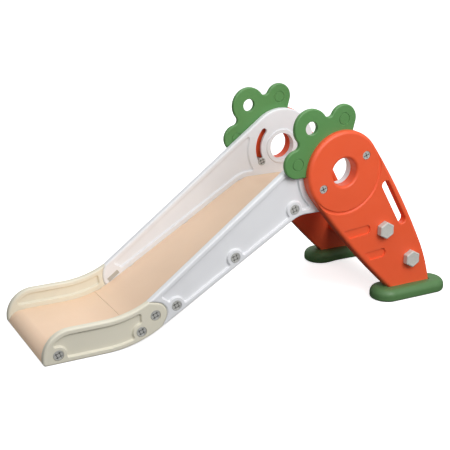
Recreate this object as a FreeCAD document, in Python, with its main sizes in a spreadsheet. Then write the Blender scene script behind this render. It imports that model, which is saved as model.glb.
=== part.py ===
import FreeCAD, Part
import os
import math
import Sketcher

# Folding toddler slide.
# Frame: X runs along the slide, with the exit at -X and the legs at +X. Y runs across it, and Z is up.
# The origin is on the floor, under the middle of the whole length and width. "Left" is the -Y side.
# All sizes are in millimetres and all angles are in degrees.

doc = FreeCAD.newDocument("toddler_slide")
sheet = doc.addObject("Spreadsheet::Sheet", "Sizes")

SIZES = [
    # the slide as a whole
    ("front_reach", 920, "hub axis to the front of the exit lip"),
    ("hub_height", 428, "floor to the hub axis"),
    ("chute_width", 307, "width of the chute panels between the side rails"),
    ("side_gap", 0.5, "gap between a chute edge and a rail"),
    ("rail_thick", 21, "thickness of a side rail"),
    ("moving_gap", 0.4, "gap between faces that pass each other when the legs fold"),
    ("fold_angle", 70, "turn of the legs from standing to folded"),
    # side profile of the slide
    ("knee_back", 650, "hub axis to the corner where the flat exit meets the slope"),
    ("platform_run", 131, "hub axis to the corner where the slope meets the platform"),
    ("exit_bend_r", 330, "radius of the bend between the flat exit and the slope"),
    ("platform_bend_r", 90, "radius of the bend between the slope and the platform"),
    ("chute_drop", 36, "height of the sliding face above the bottom edge of the rails"),
    ("chute_thick", 26, "thickness of the chute panels"),
    ("platform_back", 62, "hub axis to the rear edge of the platform"),
    ("lip_r", 44, "radius of the rolled exit lip"),
    ("seam_back", 652, "hub axis to the seam between the two chute panels"),
    ("lap_length", 42, "length of the tongue under the seam"),
    ("lap_thick", 8, "thickness of the tongue under the seam"),
    ("lap_gap", 0.3, "gap round the tongue under the seam"),
    ("seam_gap", 0.9, "gap between the two chute panels on the sliding face"),
    # rails
    ("rail_head_r", 121, "radius of the round head of the upper rail"),
    ("nose_r", 79, "radius of the round nose of the lower rail"),
    ("nose_height", 95, "height of the flat top of the lower rail"),
    ("heel_r", 9, "radius of the lower rail's front bottom corner"),
    ("rise_length", 150, "length of the rise from the lower rail's level top to the knuckle"),
    ("rail_edge_r", 5.5, "rounding of the rail edges"),
    ("panel_depth", 7, "depth of the sunk panels in the rails"),
    ("panel_floor_r", 4, "rounding of the corner between a sunk panel's floor and its wall"),
    ("panel_rim_r", 2.8, "rounding of a sunk panel's rim"),
    ("panel_corner_r", 6, "rounding of a sunk panel's corners, seen from the side"),
    ("rim", 15, "width of the rim round a sunk panel"),
    ("boss_r", 25, "radius of the raised round pads under the screws"),
    # joint between the lower and the upper rail
    ("knuckle_along", 92.3, "knee corner to the knuckle screw, along the slope"),
    ("knuckle_up", 44.1, "bottom edge of the rails to the knuckle screw, across the slope"),
    ("joint_top_reach", 46.3, "knuckle screw to the upper end of the joint"),
    ("knuckle_r", 36, "radius of the knuckle disc"),
    ("lap_joint_gap", 0.4, "gap round the knuckle disc"),
    ("tongue_reach", 27, "how far the upper rail's tongue reaches in front of the knuckle"),
    # hub and fold guide
    ("hub_bore_r", 42, "radius of the open hole through the hub"),
    ("spigot_r", 50, "radius of the round spigot that the legs turn on"),
    ("spigot_long", 3, "length of the spigot inside the rail"),
    ("running_gap", 0.05, "radial gap between the spigot and its seat"),
    ("collar_r", 55, "outer radius of the collar on the inner face of the rail"),
    ("collar_high", 4, "height of that collar"),
    ("mouth_r", 50, "radius of the flared mouth of the hub on the outer face"),
    ("guide_r", 84, "radius on which the guide pins travel"),
    ("recess_extra", 14, "how much wider the hollow behind a guide slot is, on each side"),
    ("recess_wall", 8, "wall of the rail that is left at a guide slot"),
    ("guide_angle", 30, "angle of the rear guide pin above the level, legs standing"),
    ("pin_r", 9.4, "radius of the guide pin"),
    ("pin_head_r", 12.5, "radius of the guide pin's heads"),
    ("pin_head_thick", 4, "thickness of the guide pin's heads"),
    ("pin_screw_r", 4, "radius of the screw inside the guide pin"),
    # chute and knuckle screws
    ("screw_back_1", 877, "hub axis to the first chute screw, next to the exit"),
    ("screw_back_2", 636, "hub axis to the second chute screw"),
    ("screw_back_3", 528, "hub axis to the third chute screw"),
    ("screw_back_4", 342, "hub axis to the fourth chute screw"),
    ("screw_back_5", 148, "hub axis to the fifth chute screw, next to the platform"),
    ("notch_long", 15, "length of the slits in the chute's edges"),
    ("notch_wide", 3.5, "width of those slits"),
    ("notch_deep", 8, "depth of those slits"),
    ("screw_head_r", 14.5, "radius of a screw head"),
    ("screw_head_thick", 4, "thickness of a screw head"),
    ("screw_shank_r", 4, "radius of a screw shank"),
    ("screw_grip", 24, "length of a screw inside the chute"),
    ("screw_below", 10.5, "screw axis below the sliding face"),
    ("head_sink", 0.8, "how far a screw head lies below the face round it"),
    ("hole_gap", 0.4, "radial gap round a screw shank"),
    ("seat_gap", 1, "radial gap round a screw head in its seat"),
    ("plate_long", 41, "length of the nut plate"),
    ("plate_high", 13, "height of the nut plate"),
    ("plate_shift", 7, "knuckle screw to the middle of the nut plate, up the slope"),
    ("plate_thick", 4, "thickness of the nut plate"),
    ("plate_corner_r", 1.5, "rounding of the nut plate's corners"),
    ("small_head_r", 6, "radius of a small screw's head"),
    ("small_head_thick", 2.5, "thickness of a small screw's head"),
    ("small_shank_r", 2.2, "radius of a small screw's shank"),
    ("small_grip", 10, "length of a leaf screw inside the leg"),
    ("foot_screw_grip", 25, "length of a foot screw inside the leg"),
    ("foot_screw_sink", 12, "depth of a foot screw's seat in the sole"),
    # carrot-shaped legs
    ("carrot_thick", 33, "thickness of a leg"),
    ("carrot_head_r", 123, "radius of the round head of a leg"),
    ("carrot_edge_r", 11, "rounding of the outer edge of a leg"),
    ("carrot_inner_r", 2, "rounding of the inner edge of a leg"),
    ("groove_inset", 0, "edge of the head to the middle of the round groove on the outer face"),
    ("groove_tool_r", 6, "radius of the rounded bottom of that groove"),
    ("groove_depth", 4, "depth of that groove"),
    ("leg_bottom_front", 186, "hub axis to the front bottom corner of a leg"),
    ("leg_bottom_rear", 337, "hub axis to the rear bottom corner of a leg"),
    ("leg_bottom_z", 30, "floor to the bottom of a leg, inside its foot"),
    ("rear_edge_start", 35, "direction from the hub in which the head runs out into the rear edge"),
    ("front_edge_start", 216, "direction from the hub in which the head runs out into the front edge"),
    ("rear_bow_x", 291, "hub axis to a point on the rear edge, where its curve tightens"),
    ("rear_bow_z", 172, "floor to that point"),
    ("handle_upper_z", 369.4, "floor to the middle of the hand hole's upper end"),
    ("handle_lower_z", 252.6, "floor to the middle of the hand hole's lower end"),
    ("handle_inset", 35.7, "rear edge of the leg to the middle line of the hand hole, on the level"),
    ("handle_wide", 27, "width of the hand hole"),
    ("handle_edge_r", 3.5, "rounding of the hand hole's outer edge"),
    ("handle_inner_r", 12, "rounding of the hand hole's inner edge"),
    ("mark_depth", 5, "depth of the two sunk marks on a leg"),
    ("mark_wide", 29, "width of those marks"),
    ("mark_lean", 5, "rise of those marks from the level"),
    ("mark_slant", 55, "angle between the front end of a mark and its length"),
    ("upper_mark_front", 14, "hub axis to the front end of the upper mark"),
    ("upper_mark_long", 71, "length of the upper mark, without its round end"),
    ("upper_mark_z", 233, "floor to the front end of the upper mark"),
    ("lower_mark_front", 92, "hub axis to the front end of the lower mark"),
    ("lower_mark_long", 53, "length of the lower mark, without its round end"),
    ("lower_mark_z", 152, "floor to the front end of the lower mark"),
    # leaf tops
    ("leaf_thick", 15, "thickness of a leaf"),
    ("leaf_gap", 0.3, "gap round a leaf in its pocket"),
    ("leaf_edge_r", 4, "rounding of the leaf's edges"),
    ("leaf_angle", 128, "direction of the middle lobe from the hub"),
    ("leaf_reach", 174, "hub axis to the hole in the middle lobe"),
    ("leaf_mid_r", 56, "radius of the middle lobe"),
    ("leaf_side_angle", 38.5, "angle between the middle lobe and a side lobe"),
    ("leaf_side_reach", 155, "hub axis to the middle of a side lobe"),
    ("leaf_side_r", 42, "radius of a side lobe"),
    ("leaf_corner_r", 6, "rounding of the root's corners"),
    ("leaf_root_r", 106, "radius of the hollow inner edge of a leaf"),
    ("leaf_root_half", 54.8, "half the angle that the root spans"),
    ("leaf_notch_r", 15, "rounding of the notches between the lobes"),
    ("ring_r", 19, "outer radius of the rings on the side lobes"),
    ("ring_wide", 4, "width of those rings"),
    ("ring_depth", 2, "depth of those rings"),
    ("leaf_hole_r", 19.5, "radius of the hole in the middle lobe"),
    # feet
    ("foot_front", 130, "hub axis to the front end of a foot"),
    ("foot_rear", 392, "hub axis to the rear end of a foot"),
    ("foot_wide", 103, "width of a foot"),
    ("foot_outset", 35, "how far a foot stands out beyond the outer face of its leg"),
    ("foot_high", 38, "height of a foot"),
    ("foot_waist", 5, "depth of the waist in the inner side of a foot"),
    ("foot_top_r", 21, "rounding of the foot's upper edge"),
    ("foot_sole_r", 8, "rounding of the foot's lower edge"),
    ("socket_gap", 0.3, "gap round a leg in its foot"),
    # steps between the legs
    ("upper_step_x", 148, "hub axis to the bolt of the upper step"),
    ("upper_step_z", 232, "floor to the bolt of the upper step"),
    ("lower_step_x", 252, "hub axis to the bolt of the lower step"),
    ("lower_step_z", 123.5, "floor to the bolt of the lower step"),
    ("step_deep", 96, "depth of a step, front to rear"),
    ("step_high", 34, "height of a step"),
    ("step_seat", 6, "how far a step's end sits inside the leg"),
    ("step_edge_r", 8, "rounding of the step's long edges"),
    ("bolt_hex", 47, "width of a bolt head across its flats"),
    ("bolt_turn", 30, "turn of a bolt head's corners from the level"),
    ("bolt_head_thick", 20, "thickness of a bolt head"),
    ("bolt_r", 11, "radius of a step bolt"),
    ("bolt_grip", 45, "length of a step bolt inside the step"),
    ("grip_pitch", 16, "distance between the grip grooves in a step's tread"),
    ("grip_wide", 7, "width of a grip groove"),
    ("grip_deep", 2, "depth of a grip groove"),
]

for row, (alias, value, note) in enumerate(SIZES, start=1):
    sheet.set(f"A{row}", alias)
    sheet.set(f"B{row}", str(value))
    sheet.set(f"C{row}", note)
    sheet.setAlias(f"B{row}", alias)

# Sizes that follow from the others.
DERIVED = [
    ("hub_x", "=(front_reach - foot_rear) / 2"),
    ("chute_half", "=chute_width / 2"),
    ("rail_inner", "=chute_half + side_gap"),
    ("rail_outer", "=rail_inner + rail_thick"),
    ("rail_mid", "=rail_inner + rail_thick / 2"),
    ("leg_inner", "=rail_outer + moving_gap"),
    ("leg_outer", "=leg_inner + carrot_thick"),
    ("foot_outer", "=leg_outer + foot_outset"),
    ("foot_inner", "=foot_outer - foot_wide"),
    ("slot_half", "=pin_r + moving_gap"),
    ("pin_seat", "=leg_outer - pin_head_thick - head_sink"),
    ("groove_r", "=carrot_head_r - groove_inset"),
]
for row, (alias, formula) in enumerate(DERIVED, start=len(SIZES) + 2):
    sheet.set(f"A{row}", alias)
    sheet.set(f"B{row}", formula)
    sheet.setAlias(f"B{row}", alias)
doc.recompute()


def size(alias):
    """Value of one cell of the sheet."""
    return float(sheet.get(alias))


LEFT = -1
RIGHT = 1
SIDES = [("left", LEFT), ("right", RIGHT)]
OUTWARDS = FreeCAD.Vector(0, -1, 0)
hub = (size("hub_x"), size("hub_height"))


# ---- plane geometry: x along the slide, y of the sketch is the height ------------------------------

def vec(point):
    return FreeCAD.Vector(point[0], point[1], 0)


def polar(centre, radius, angle):
    """Point at an angle and a radius from a centre."""
    turn = math.radians(angle)
    return (centre[0] + radius * math.cos(turn), centre[1] + radius * math.sin(turn))


def from_hub(back, height):
    """Point a distance behind the hub axis (towards the legs) at a height above the floor."""
    return (hub[0] + back, height)


def line(start, end):
    return Part.LineSegment(vec(start), vec(end))


def arc(start, middle, end):
    return Part.Arc(vec(start), vec(middle), vec(end))


def round_arc(centre, radius, start_angle, end_angle):
    """Arc about a centre, from one angle to another, either way round."""
    middle_angle = (start_angle + end_angle) / 2
    return arc(
        polar(centre, radius, start_angle),
        polar(centre, radius, middle_angle),
        polar(centre, radius, end_angle),
    )


def direction(start, end):
    return math.degrees(math.atan2(end[1] - start[1], end[0] - start[0]))


def leaving_arc(start, heading, end):
    """Arc that leaves a point along a heading and reaches another point; also its last heading."""
    chord = math.dist(start, end)
    chord_heading = direction(start, end)
    swing = heading - chord_heading
    rise = chord / 2 * math.tan(math.radians(swing) / 2)
    centre_of_chord = ((start[0] + end[0]) / 2, (start[1] + end[1]) / 2)
    middle = polar(centre_of_chord, rise, chord_heading + 90)
    return arc(start, middle, end), chord_heading - swing


def crossing(point_a, heading_a, point_b, heading_b):
    """Point where two straight lines meet."""
    ax, ay = polar((0, 0), 1, heading_a)
    bx, by = polar((0, 0), 1, heading_b)
    dx = point_b[0] - point_a[0]
    dy = point_b[1] - point_a[1]
    along = (dx * by - dy * bx) / (ax * by - ay * bx)
    return (point_a[0] + along * ax, point_a[1] + along * ay)


def tangent_angle(centre, radius, point, side):
    """Angle on a circle where the line from an outside point touches it; side is +1 or -1."""
    return direction(centre, point) + side * math.degrees(math.acos(radius / math.dist(centre, point)))


def rounded_path(corners, closed=False):
    """Straight runs through (x, y, radius) corners, joined by tangent arcs."""
    count = len(corners)
    pieces = []
    joints = []
    for index, (x, y, radius) in enumerate(corners):
        if radius == 0 or (not closed and index in (0, count - 1)):
            joints.append(((x, y), (x, y), None))
            continue
        before = corners[index - 1]
        after = corners[(index + 1) % count]
        heading_in = direction((x, y), before)
        heading_out = direction((x, y), after)
        half = abs((heading_out - heading_in + 180) % 360 - 180) / 2
        reach = radius / math.tan(math.radians(half))
        start = polar((x, y), reach, heading_in)
        end = polar((x, y), reach, heading_out)
        bisector = polar((0, 0), 1, heading_in)
        other = polar((0, 0), 1, heading_out)
        inward = math.degrees(math.atan2(bisector[1] + other[1], bisector[0] + other[0]))
        to_arc = radius / math.sin(math.radians(half)) - radius
        joints.append((start, end, polar((x, y), to_arc, inward)))
    for index, (start, end, middle) in enumerate(joints):
        if middle is not None:
            pieces.append(arc(start, middle, end))
        last = index == count - 1
        if last and not closed:
            break
        following = joints[(index + 1) % count][0]
        if math.dist(end, following) > 1e-6:
            pieces.append(line(end, following))
    return pieces


def wire_of(pieces):
    edges = [piece.toShape() for piece in pieces]
    return Part.Wire(Part.__sortEdges__(edges))


def face_of(pieces):
    face = Part.Face(wire_of(pieces))
    if face.normalAt(0, 0).z < 0:
        face.reverse()
    return face


def disc(centre, radius):
    circle = Part.Circle(vec(centre), FreeCAD.Vector(0, 0, 1), radius)
    return Part.Face(Part.Wire(circle.toShape()))


def inset(face, distance):
    """The same outline, moved inwards."""
    return Part.Face(face.OuterWire.makeOffset2D(-distance, 0, False, False, True))


def outline_of(face):
    """Sketch geometry of a plane face's edges."""
    pieces = []
    for edge in face.Edges:
        if isinstance(edge.Curve, Part.Circle):
            if edge.isClosed():
                pieces.append(Part.Circle(edge.Curve.Center, FreeCAD.Vector(0, 0, 1), edge.Curve.Radius))
            else:
                ends = [edge.valueAt(edge.FirstParameter), edge.valueAt(edge.LastParameter)]
                middle = edge.valueAt((edge.FirstParameter + edge.LastParameter) / 2)
                pieces.append(Part.Arc(ends[0], middle, ends[1]))
        else:
            ends = [vertex.Point for vertex in edge.Vertexes]
            pieces.append(Part.LineSegment(ends[0], ends[1]))
    return pieces


# ---- PartDesign helpers ---------------------------------------------------------------------------

def new_body(label):
    body = doc.addObject("PartDesign::Body", label)
    body.Label = label
    return body


def new_sketch(body, name, pieces, plane="XZ_Plane", offset="0"):
    """Sketch on one of the body's own origin planes, moved along the plane's normal by an expression."""
    sketch = body.newObject("Sketcher::SketchObject", name)
    support = [item for item in body.Origin.OriginFeatures if item.Role == plane][0]
    sketch.AttachmentSupport = (support, "")
    sketch.MapMode = "FlatFace"
    sketch.setExpression("AttachmentOffset.Base.z", offset)
    for piece in pieces:
        sketch.addGeometry(piece, False)
    return sketch


def circle_sketch(body, name, centres, radius, offset):
    """Sketch of equal circles whose radius follows the sheet."""
    first_radius = 5
    circles = [Part.Circle(vec(centre), FreeCAD.Vector(0, 0, 1), first_radius) for centre in centres]
    sketch = new_sketch(body, name, circles, offset=offset)
    for index in range(len(circles)):
        sketch.addConstraint(Sketcher.Constraint("Radius", index, first_radius))
        sketch.setExpression(f"Constraints[{index}]", radius)
    return sketch


def check_step(feature, before, grows):
    """Stop if a feature failed or changed nothing."""
    doc.recompute()
    after = feature.Shape.Volume
    changed = after - before
    if "Invalid" in feature.State or "Error" in feature.State or not feature.Shape.isValid():
        raise RuntimeError(f"{feature.Label} is not valid")
    if (grows and changed <= 0) or (not grows and changed >= 0):
        raise RuntimeError(f"{feature.Label} changed the volume by {changed:.1f}")


def volume_of(body):
    if body.Tip is None or body.Shape.isNull():
        return 0.0
    return body.Shape.Volume


def pad(body, sketch, length, reverse=False, symmetric=False):
    before = volume_of(body)
    feature = body.newObject("PartDesign::Pad", f"{sketch.Name}_pad")
    feature.Profile = sketch
    feature.setExpression("Length", length)
    feature.Reversed = reverse
    feature.Midplane = symmetric
    sketch.Visibility = False
    check_step(feature, before, True)
    return feature


def pocket(body, sketch, depth, reverse=False, symmetric=False):
    before = volume_of(body)
    feature = body.newObject("PartDesign::Pocket", f"{sketch.Name}_pocket")
    feature.Profile = sketch
    feature.setExpression("Length", depth)
    feature.Reversed = reverse
    feature.Midplane = symmetric
    sketch.Visibility = False
    check_step(feature, before, False)
    return feature


def round_edges(body, chosen, radius, name, grows=False):
    """Fillet the edges that the chosen test accepts."""
    before = volume_of(body)
    base = body.Tip
    names = [f"Edge{index}" for index, edge in enumerate(base.Shape.Edges, start=1) if chosen(edge)]
    feature = body.newObject("PartDesign::Fillet", name)
    feature.Base = (base, names)
    feature.setExpression("Radius", radius)
    check_step(feature, before, grows)
    return feature


def in_plane_y(y):
    """Test for edges that lie in one upright plane across the slide."""
    def test(edge):
        return all(abs(edge.valueAt(parameter).y - y) < 1e-4 for parameter in
                   (edge.FirstParameter, (edge.FirstParameter + edge.LastParameter) / 2, edge.LastParameter))
    return test


def rim_above(y, bottom):
    """Test for edges of one face, leaving out the straight bottom edge."""
    flat = in_plane_y(y)

    def test(edge):
        middle = edge.valueAt((edge.FirstParameter + edge.LastParameter) / 2)
        return flat(edge) and middle.z > bottom + 1
    return test


def side_offset(side, alias):
    """Expression for a plane at a distance from the middle plane, on one side of the slide."""
    return f"{-side} * Sizes.{alias}"


# ---- side profile of the slide --------------------------------------------------------------------

platform_bottom = size("hub_height") - size("rail_head_r")
knee = from_hub(-size("knee_back"), 0)
platform_bend = from_hub(-size("platform_run"), platform_bottom)
slope = direction(knee, platform_bend)
knuckle = polar(polar(knee, size("knuckle_along"), slope), size("knuckle_up"), slope + 90)

# The joint leaves the top edge and the bottom edge of the rails at these angles to the slope.
joint_top = polar(knuckle, size("joint_top_reach"), slope + 83.4)
joint_bottom_outer = crossing(knee, slope, knuckle, slope - 93.6)
joint_bottom_inner = crossing(knee, slope, knuckle, slope - 114.6)
top_touch_angle = tangent_angle(hub, size("rail_head_r"), joint_top, -1) % 360
top_touch = polar(hub, size("rail_head_r"), top_touch_angle)


def sliding_path(depth):
    """Corners of the line that lies a depth below the sliding face, from the exit to the platform."""
    shift = size("chute_drop") - depth
    rise = shift / math.cos(math.radians(slope))
    low = crossing((knee[0], knee[1] + rise), slope, (0, shift), 0)
    high = crossing((knee[0], knee[1] + rise), slope, (0, platform_bottom + shift), 0)
    return low, high


def point_on_slide(back, depth):
    """Point at a distance in front of the hub, a depth below the sliding face."""
    low, high = sliding_path(depth)
    x = hub[0] - back
    bend = size("exit_bend_r") - (size("chute_drop") - depth)
    bend_reach = bend * math.tan(math.radians(slope / 2))
    if x <= low[0] - bend_reach:
        return (x, low[1])
    if x < low[0] + bend_reach * math.cos(math.radians(slope)):
        centre = (low[0] - bend_reach, low[1] + bend)
        return (x, centre[1] - math.sqrt(bend ** 2 - (x - centre[0]) ** 2))
    if x < high[0]:
        return (x, low[1] + (x - low[0]) * math.tan(math.radians(slope)))
    return (x, high[1])


SCREW_BACKS = [size(f"screw_back_{number}") for number in range(1, 6)]
LOWER_SCREWS = 2
chute_screws = [point_on_slide(back, size("screw_below")) for back in SCREW_BACKS]


# ---- chute ----------------------------------------------------------------------------------------

def build_chute_lower():
    """Exit panel: flat run-out with a rolled lip, and a tongue that lies under the upper panel."""
    thick = size("chute_thick")
    drop = size("chute_drop")
    front = hub[0] - size("front_reach")
    lip = size("lip_r")
    seam = point_on_slide(size("seam_back"), 0)
    seam_under = point_on_slide(size("seam_back"), thick - size("lap_thick"))
    end_top = point_on_slide(size("seam_back") - size("lap_length"), thick - size("lap_thick"))
    end_low = point_on_slide(size("seam_back") - size("lap_length"), thick)
    low_top, _ = sliding_path(0)
    low_under, _ = sliding_path(thick)
    bend_top = size("exit_bend_r") - drop
    bend_under = size("exit_bend_r") - drop + thick
    top_start = (low_top[0] - bend_top * math.tan(math.radians(slope / 2)), low_top[1])
    under_start = (low_under[0] - bend_under * math.tan(math.radians(slope / 2)), low_under[1])
    lip_top = (front + lip, drop)
    lip_end = polar((front + lip, drop - lip), lip, 180)
    lip_bottom_height = 4
    wall = 10
    lip_end = (front + lip - math.sqrt(lip ** 2 - (lip - drop + lip_bottom_height) ** 2), lip_bottom_height)
    lip_middle = polar((front + lip, drop - lip), lip, 135)
    pieces = [
        line(lip_top, top_start),
        leaving_arc(top_start, 0, seam)[0],
        line(seam, seam_under),
        leaving_arc(seam_under, direction(seam_under, end_top) - 1, end_top)[0],
        line(end_top, end_low),
        leaving_arc(under_start, 0, end_low)[0],
        line(under_start, (front + lip, drop - thick)),
        leaving_arc((front + lip, drop - thick), 180, (lip_end[0] + wall, lip_bottom_height))[0],
        line((lip_end[0] + wall, lip_bottom_height), lip_end),
        arc(lip_end, lip_middle, lip_top),
    ]
    body = new_body("chute_lower")
    sketch = new_sketch(body, "exit_profile", pieces)
    pad(body, sketch, "Sizes.chute_width", symmetric=True)
    cut_edge_notches(body, SCREW_BACKS[:1], "exit")
    drill_chute(body, chute_screws[:1], "exit")
    return body


def build_chute_upper():
    """Sloping panel that ends in a level platform, rebated at the seam for the tongue."""
    thick = size("chute_thick")
    gap = size("lap_gap")
    start_back = size("seam_back") - size("seam_gap")
    lap_back = size("seam_back") - size("lap_length") - gap
    lap_depth = thick - size("lap_thick") - gap
    start = point_on_slide(start_back, 0)
    start_under = point_on_slide(start_back, lap_depth)
    lap_end = point_on_slide(lap_back, lap_depth)
    lap_low = point_on_slide(lap_back, thick)
    low_top, high_top = sliding_path(0)
    _, high_under = sliding_path(thick)
    bend_top = size("exit_bend_r") - size("chute_drop")
    reach_top = bend_top * math.tan(math.radians(slope / 2))
    straight_start = polar(low_top, reach_top, slope)
    rear_x = hub[0] + size("platform_back")
    edge_r = 8
    first_heading = 2 * direction(start, straight_start) - slope
    top = rounded_path([
        (straight_start[0], straight_start[1], 0),
        (high_top[0], high_top[1], size("platform_bend_r")),
        (rear_x, high_top[1], edge_r),
        (rear_x, high_under[1], 3),
        (high_under[0], high_under[1], size("platform_bend_r") + thick),
        (lap_low[0], lap_low[1], 0),
    ])
    under_heading = direction(start_under, lap_end) - 1
    pieces = top + [
        line(lap_low, lap_end),
        leaving_arc(start_under, under_heading, lap_end)[0],
        line(start_under, start),
        leaving_arc(start, first_heading, straight_start)[0],
    ]
    body = new_body("chute_upper")
    sketch = new_sketch(body, "slope_profile", pieces)
    pad(body, sketch, "Sizes.chute_width", symmetric=True)
    cut_edge_notches(body, SCREW_BACKS[1:], "slope")
    drill_chute(body, chute_screws[1:], "slope")
    return body


def cut_edge_notches(body, backs, name):
    """Narrow slits along both edges of a panel, one over each screw."""
    half_long = size("notch_long") / 2
    deep = size("notch_deep")
    for index, back in enumerate(backs):
        ahead = point_on_slide(back + half_long, 0)
        behind = point_on_slide(back - half_long, 0)
        across = direction(ahead, behind) + 90
        corners = [
            polar(ahead, deep, across),
            polar(behind, deep, across),
            polar(behind, -deep, across),
            polar(ahead, -deep, across),
        ]
        loop = [line(corners[k], corners[(k + 1) % 4]) for k in range(4)]
        for side_name, side in SIDES:
            sketch = new_sketch(body, f"{name}_notch_{side_name}_{index}", loop,
                                offset=side_offset(side, "chute_half"))
            pocket(body, sketch, "Sizes.notch_wide", reverse=side == RIGHT)


def drill_chute(body, centres, name):
    """Blind holes in both edges of a panel for the screw shanks."""
    for side_name, side in SIDES:
        sketch = circle_sketch(body, f"{name}_holes_{side_name}", centres, "Sizes.screw_shank_r",
                               side_offset(side, "chute_half"))
        pocket(body, sketch, "Sizes.screw_grip - Sizes.side_gap + 1", reverse=side == RIGHT)


# ---- rails ----------------------------------------------------------------------------------------
# Everything beside the chute is built once, on the left, and mirrored to the right at the end.

def joint_curve(extra):
    """Edge of the lower rail's knuckle half, from the top of the rails to the bottom."""
    radius = size("knuckle_r") + extra
    top = polar(joint_top, extra, 0)
    bottom = polar(joint_bottom_outer, extra, 0)
    top_angle = tangent_angle(knuckle, radius, top, -1)
    bottom_angle = tangent_angle(knuckle, radius, bottom, 1)
    return [
        line(top, polar(knuckle, radius, top_angle)),
        round_arc(knuckle, radius, top_angle, bottom_angle),
        line(polar(knuckle, radius, bottom_angle), bottom),
    ]


def tongue_curve(extra):
    """Edge of the upper rail's tongue half, from the top of the rails to the bottom."""
    top = polar(joint_top, extra, 0)
    bottom = polar(joint_bottom_inner, extra, 0)
    middle = (knuckle[0] - size("tongue_reach") + extra, knuckle[1])
    return [arc(top, middle, bottom)]


def ends_of(curve):
    first = curve[0].StartPoint
    last = curve[-1].EndPoint
    return (first.x, first.y), (last.x, last.y)


def upper_rail_outline(joint):
    """Upper rail: round head, tapering arm, and the joint edge at its lower end."""
    top, bottom = ends_of(joint)
    head_r = size("rail_head_r")
    underside = rounded_path([
        (bottom[0], bottom[1], 0),
        (platform_bend[0], platform_bend[1], size("platform_bend_r")),
        (hub[0], platform_bottom, 0),
    ])
    head = [
        round_arc(hub, head_r, -90, 0),
        round_arc(hub, head_r, 0, top_touch_angle),
    ]
    return underside + head + [line(top_touch, top)] + joint


def lower_rail_outline(joint):
    """Lower rail: round nose, level top that rises to the joint, level bottom that turns up the slope."""
    top, bottom = ends_of(joint)
    front = hub[0] - size("front_reach")
    nose = size("nose_r")
    nose_centre = (front + nose, size("nose_height") - nose)
    bend_reach = size("exit_bend_r") * math.tan(math.radians(slope / 2))
    flat_end = (knee[0] - bend_reach, 0)
    slope_start = polar(knee, bend_reach, slope)
    if bottom[0] < slope_start[0]:
        underside = [leaving_arc(flat_end, 0, bottom)[0]]
    else:
        underside = [leaving_arc(flat_end, 0, slope_start)[0], line(slope_start, bottom)]
    level_end = (knuckle[0] - size("rise_length"), size("nose_height"))
    heel_r = size("heel_r")
    heel = (front + heel_r, heel_r)
    return underside + joint + [
        leaving_arc(level_end, 0, top)[0],
        line(level_end, (nose_centre[0], size("nose_height"))),
        round_arc(nose_centre, nose, 90, 180),
        line(polar(nose_centre, nose, 180), polar(heel, heel_r, 180)),
        round_arc(heel, heel_r, 180, 270),
        line((heel[0], 0), flat_end),
    ]


def above_chute(region):
    """The part of a region that lies a rim's width above the sliding face."""
    low, high = sliding_path(-size("rim"))
    x_start = hub[0] - size("front_reach")
    x_end = hub[0] + size("rail_head_r")
    top = 2 * size("hub_height")
    floor_line = rounded_path([
        (x_start, low[1], 0),
        (low[0], low[1], size("exit_bend_r") - size("chute_drop") - size("rim")),
        (high[0], high[1], size("platform_bend_r")),
        (x_end, high[1], 0),
    ])
    closing = [
        line((x_end, high[1]), (x_end, top)),
        line((x_end, top), (x_start, top)),
        line((x_start, top), (x_start, low[1])),
    ]
    return largest_face(region.common(face_of(floor_line + closing)))


def largest_face(shape):
    return sorted(shape.Faces, key=lambda face: face.Area)[-1]


def grown(face, distance):
    """A plane outline moved outwards, or inwards where the distance is negative; its largest part."""
    moved = face.OuterWire.makeOffset2D(distance, 0, False, False, True)
    return max([Part.Face(wire) for wire in moved.Wires], key=lambda part: part.Area)


def softened(face, radius):
    """A plane outline with its corners rounded; a neck that is thinner than the rounding parts it in two."""
    cores = face.OuterWire.makeOffset2D(-radius, 0, False, False, True).Wires
    return [grown(grown(Part.Face(core), 2 * radius), -radius) for core in cores]


def outer_panel(outline, screws, kept_disc):
    """Sunk panel on the outer face: inside the rim, round the screw pads and clear of a kept disc."""
    region = grown(face_of(outline), -size("rim"))
    for centre in screws:
        region = largest_face(region.cut(disc(centre, size("boss_r"))))
    return softened(largest_face(region.cut(kept_disc)), size("panel_corner_r"))


def inner_panel(outline, kept_discs):
    """Sunk panel on the inner face: inside the rim, above the chute and clear of the kept discs."""
    region = above_chute(grown(face_of(outline), -size("rim")))
    for kept in kept_discs:
        region = largest_face(region.cut(kept))
    return softened(region, size("panel_corner_r"))


def sink_panel(body, name, panels, place):
    """Pocket panel outlines into one face of a rail, and round their floors and their rims."""
    pieces = [piece for panel in panels for piece in outline_of(panel)]
    sketch = new_sketch(body, name, pieces, offset=f"Sizes.{place}")
    from_outer = place == "rail_outer"
    pocket(body, sketch, "Sizes.panel_depth", reverse=not from_outer)
    inward = -1 if from_outer else 1
    floor_y = -(size(place) + inward * size("panel_depth"))

    def on_rim(edge):
        middle = edge.valueAt((edge.FirstParameter + edge.LastParameter) / 2)
        spot = Part.Vertex(middle.x, middle.z, 0)
        return in_plane_y(-size(place))(edge) \
            and min(panel.OuterWire.distToShape(spot)[0] for panel in panels) < 1e-4

    round_edges(body, in_plane_y(floor_y), "Sizes.panel_floor_r", f"{name}_floor_round", grows=True)
    round_edges(body, on_rim, "Sizes.panel_rim_r", f"{name}_rim_round")


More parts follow.
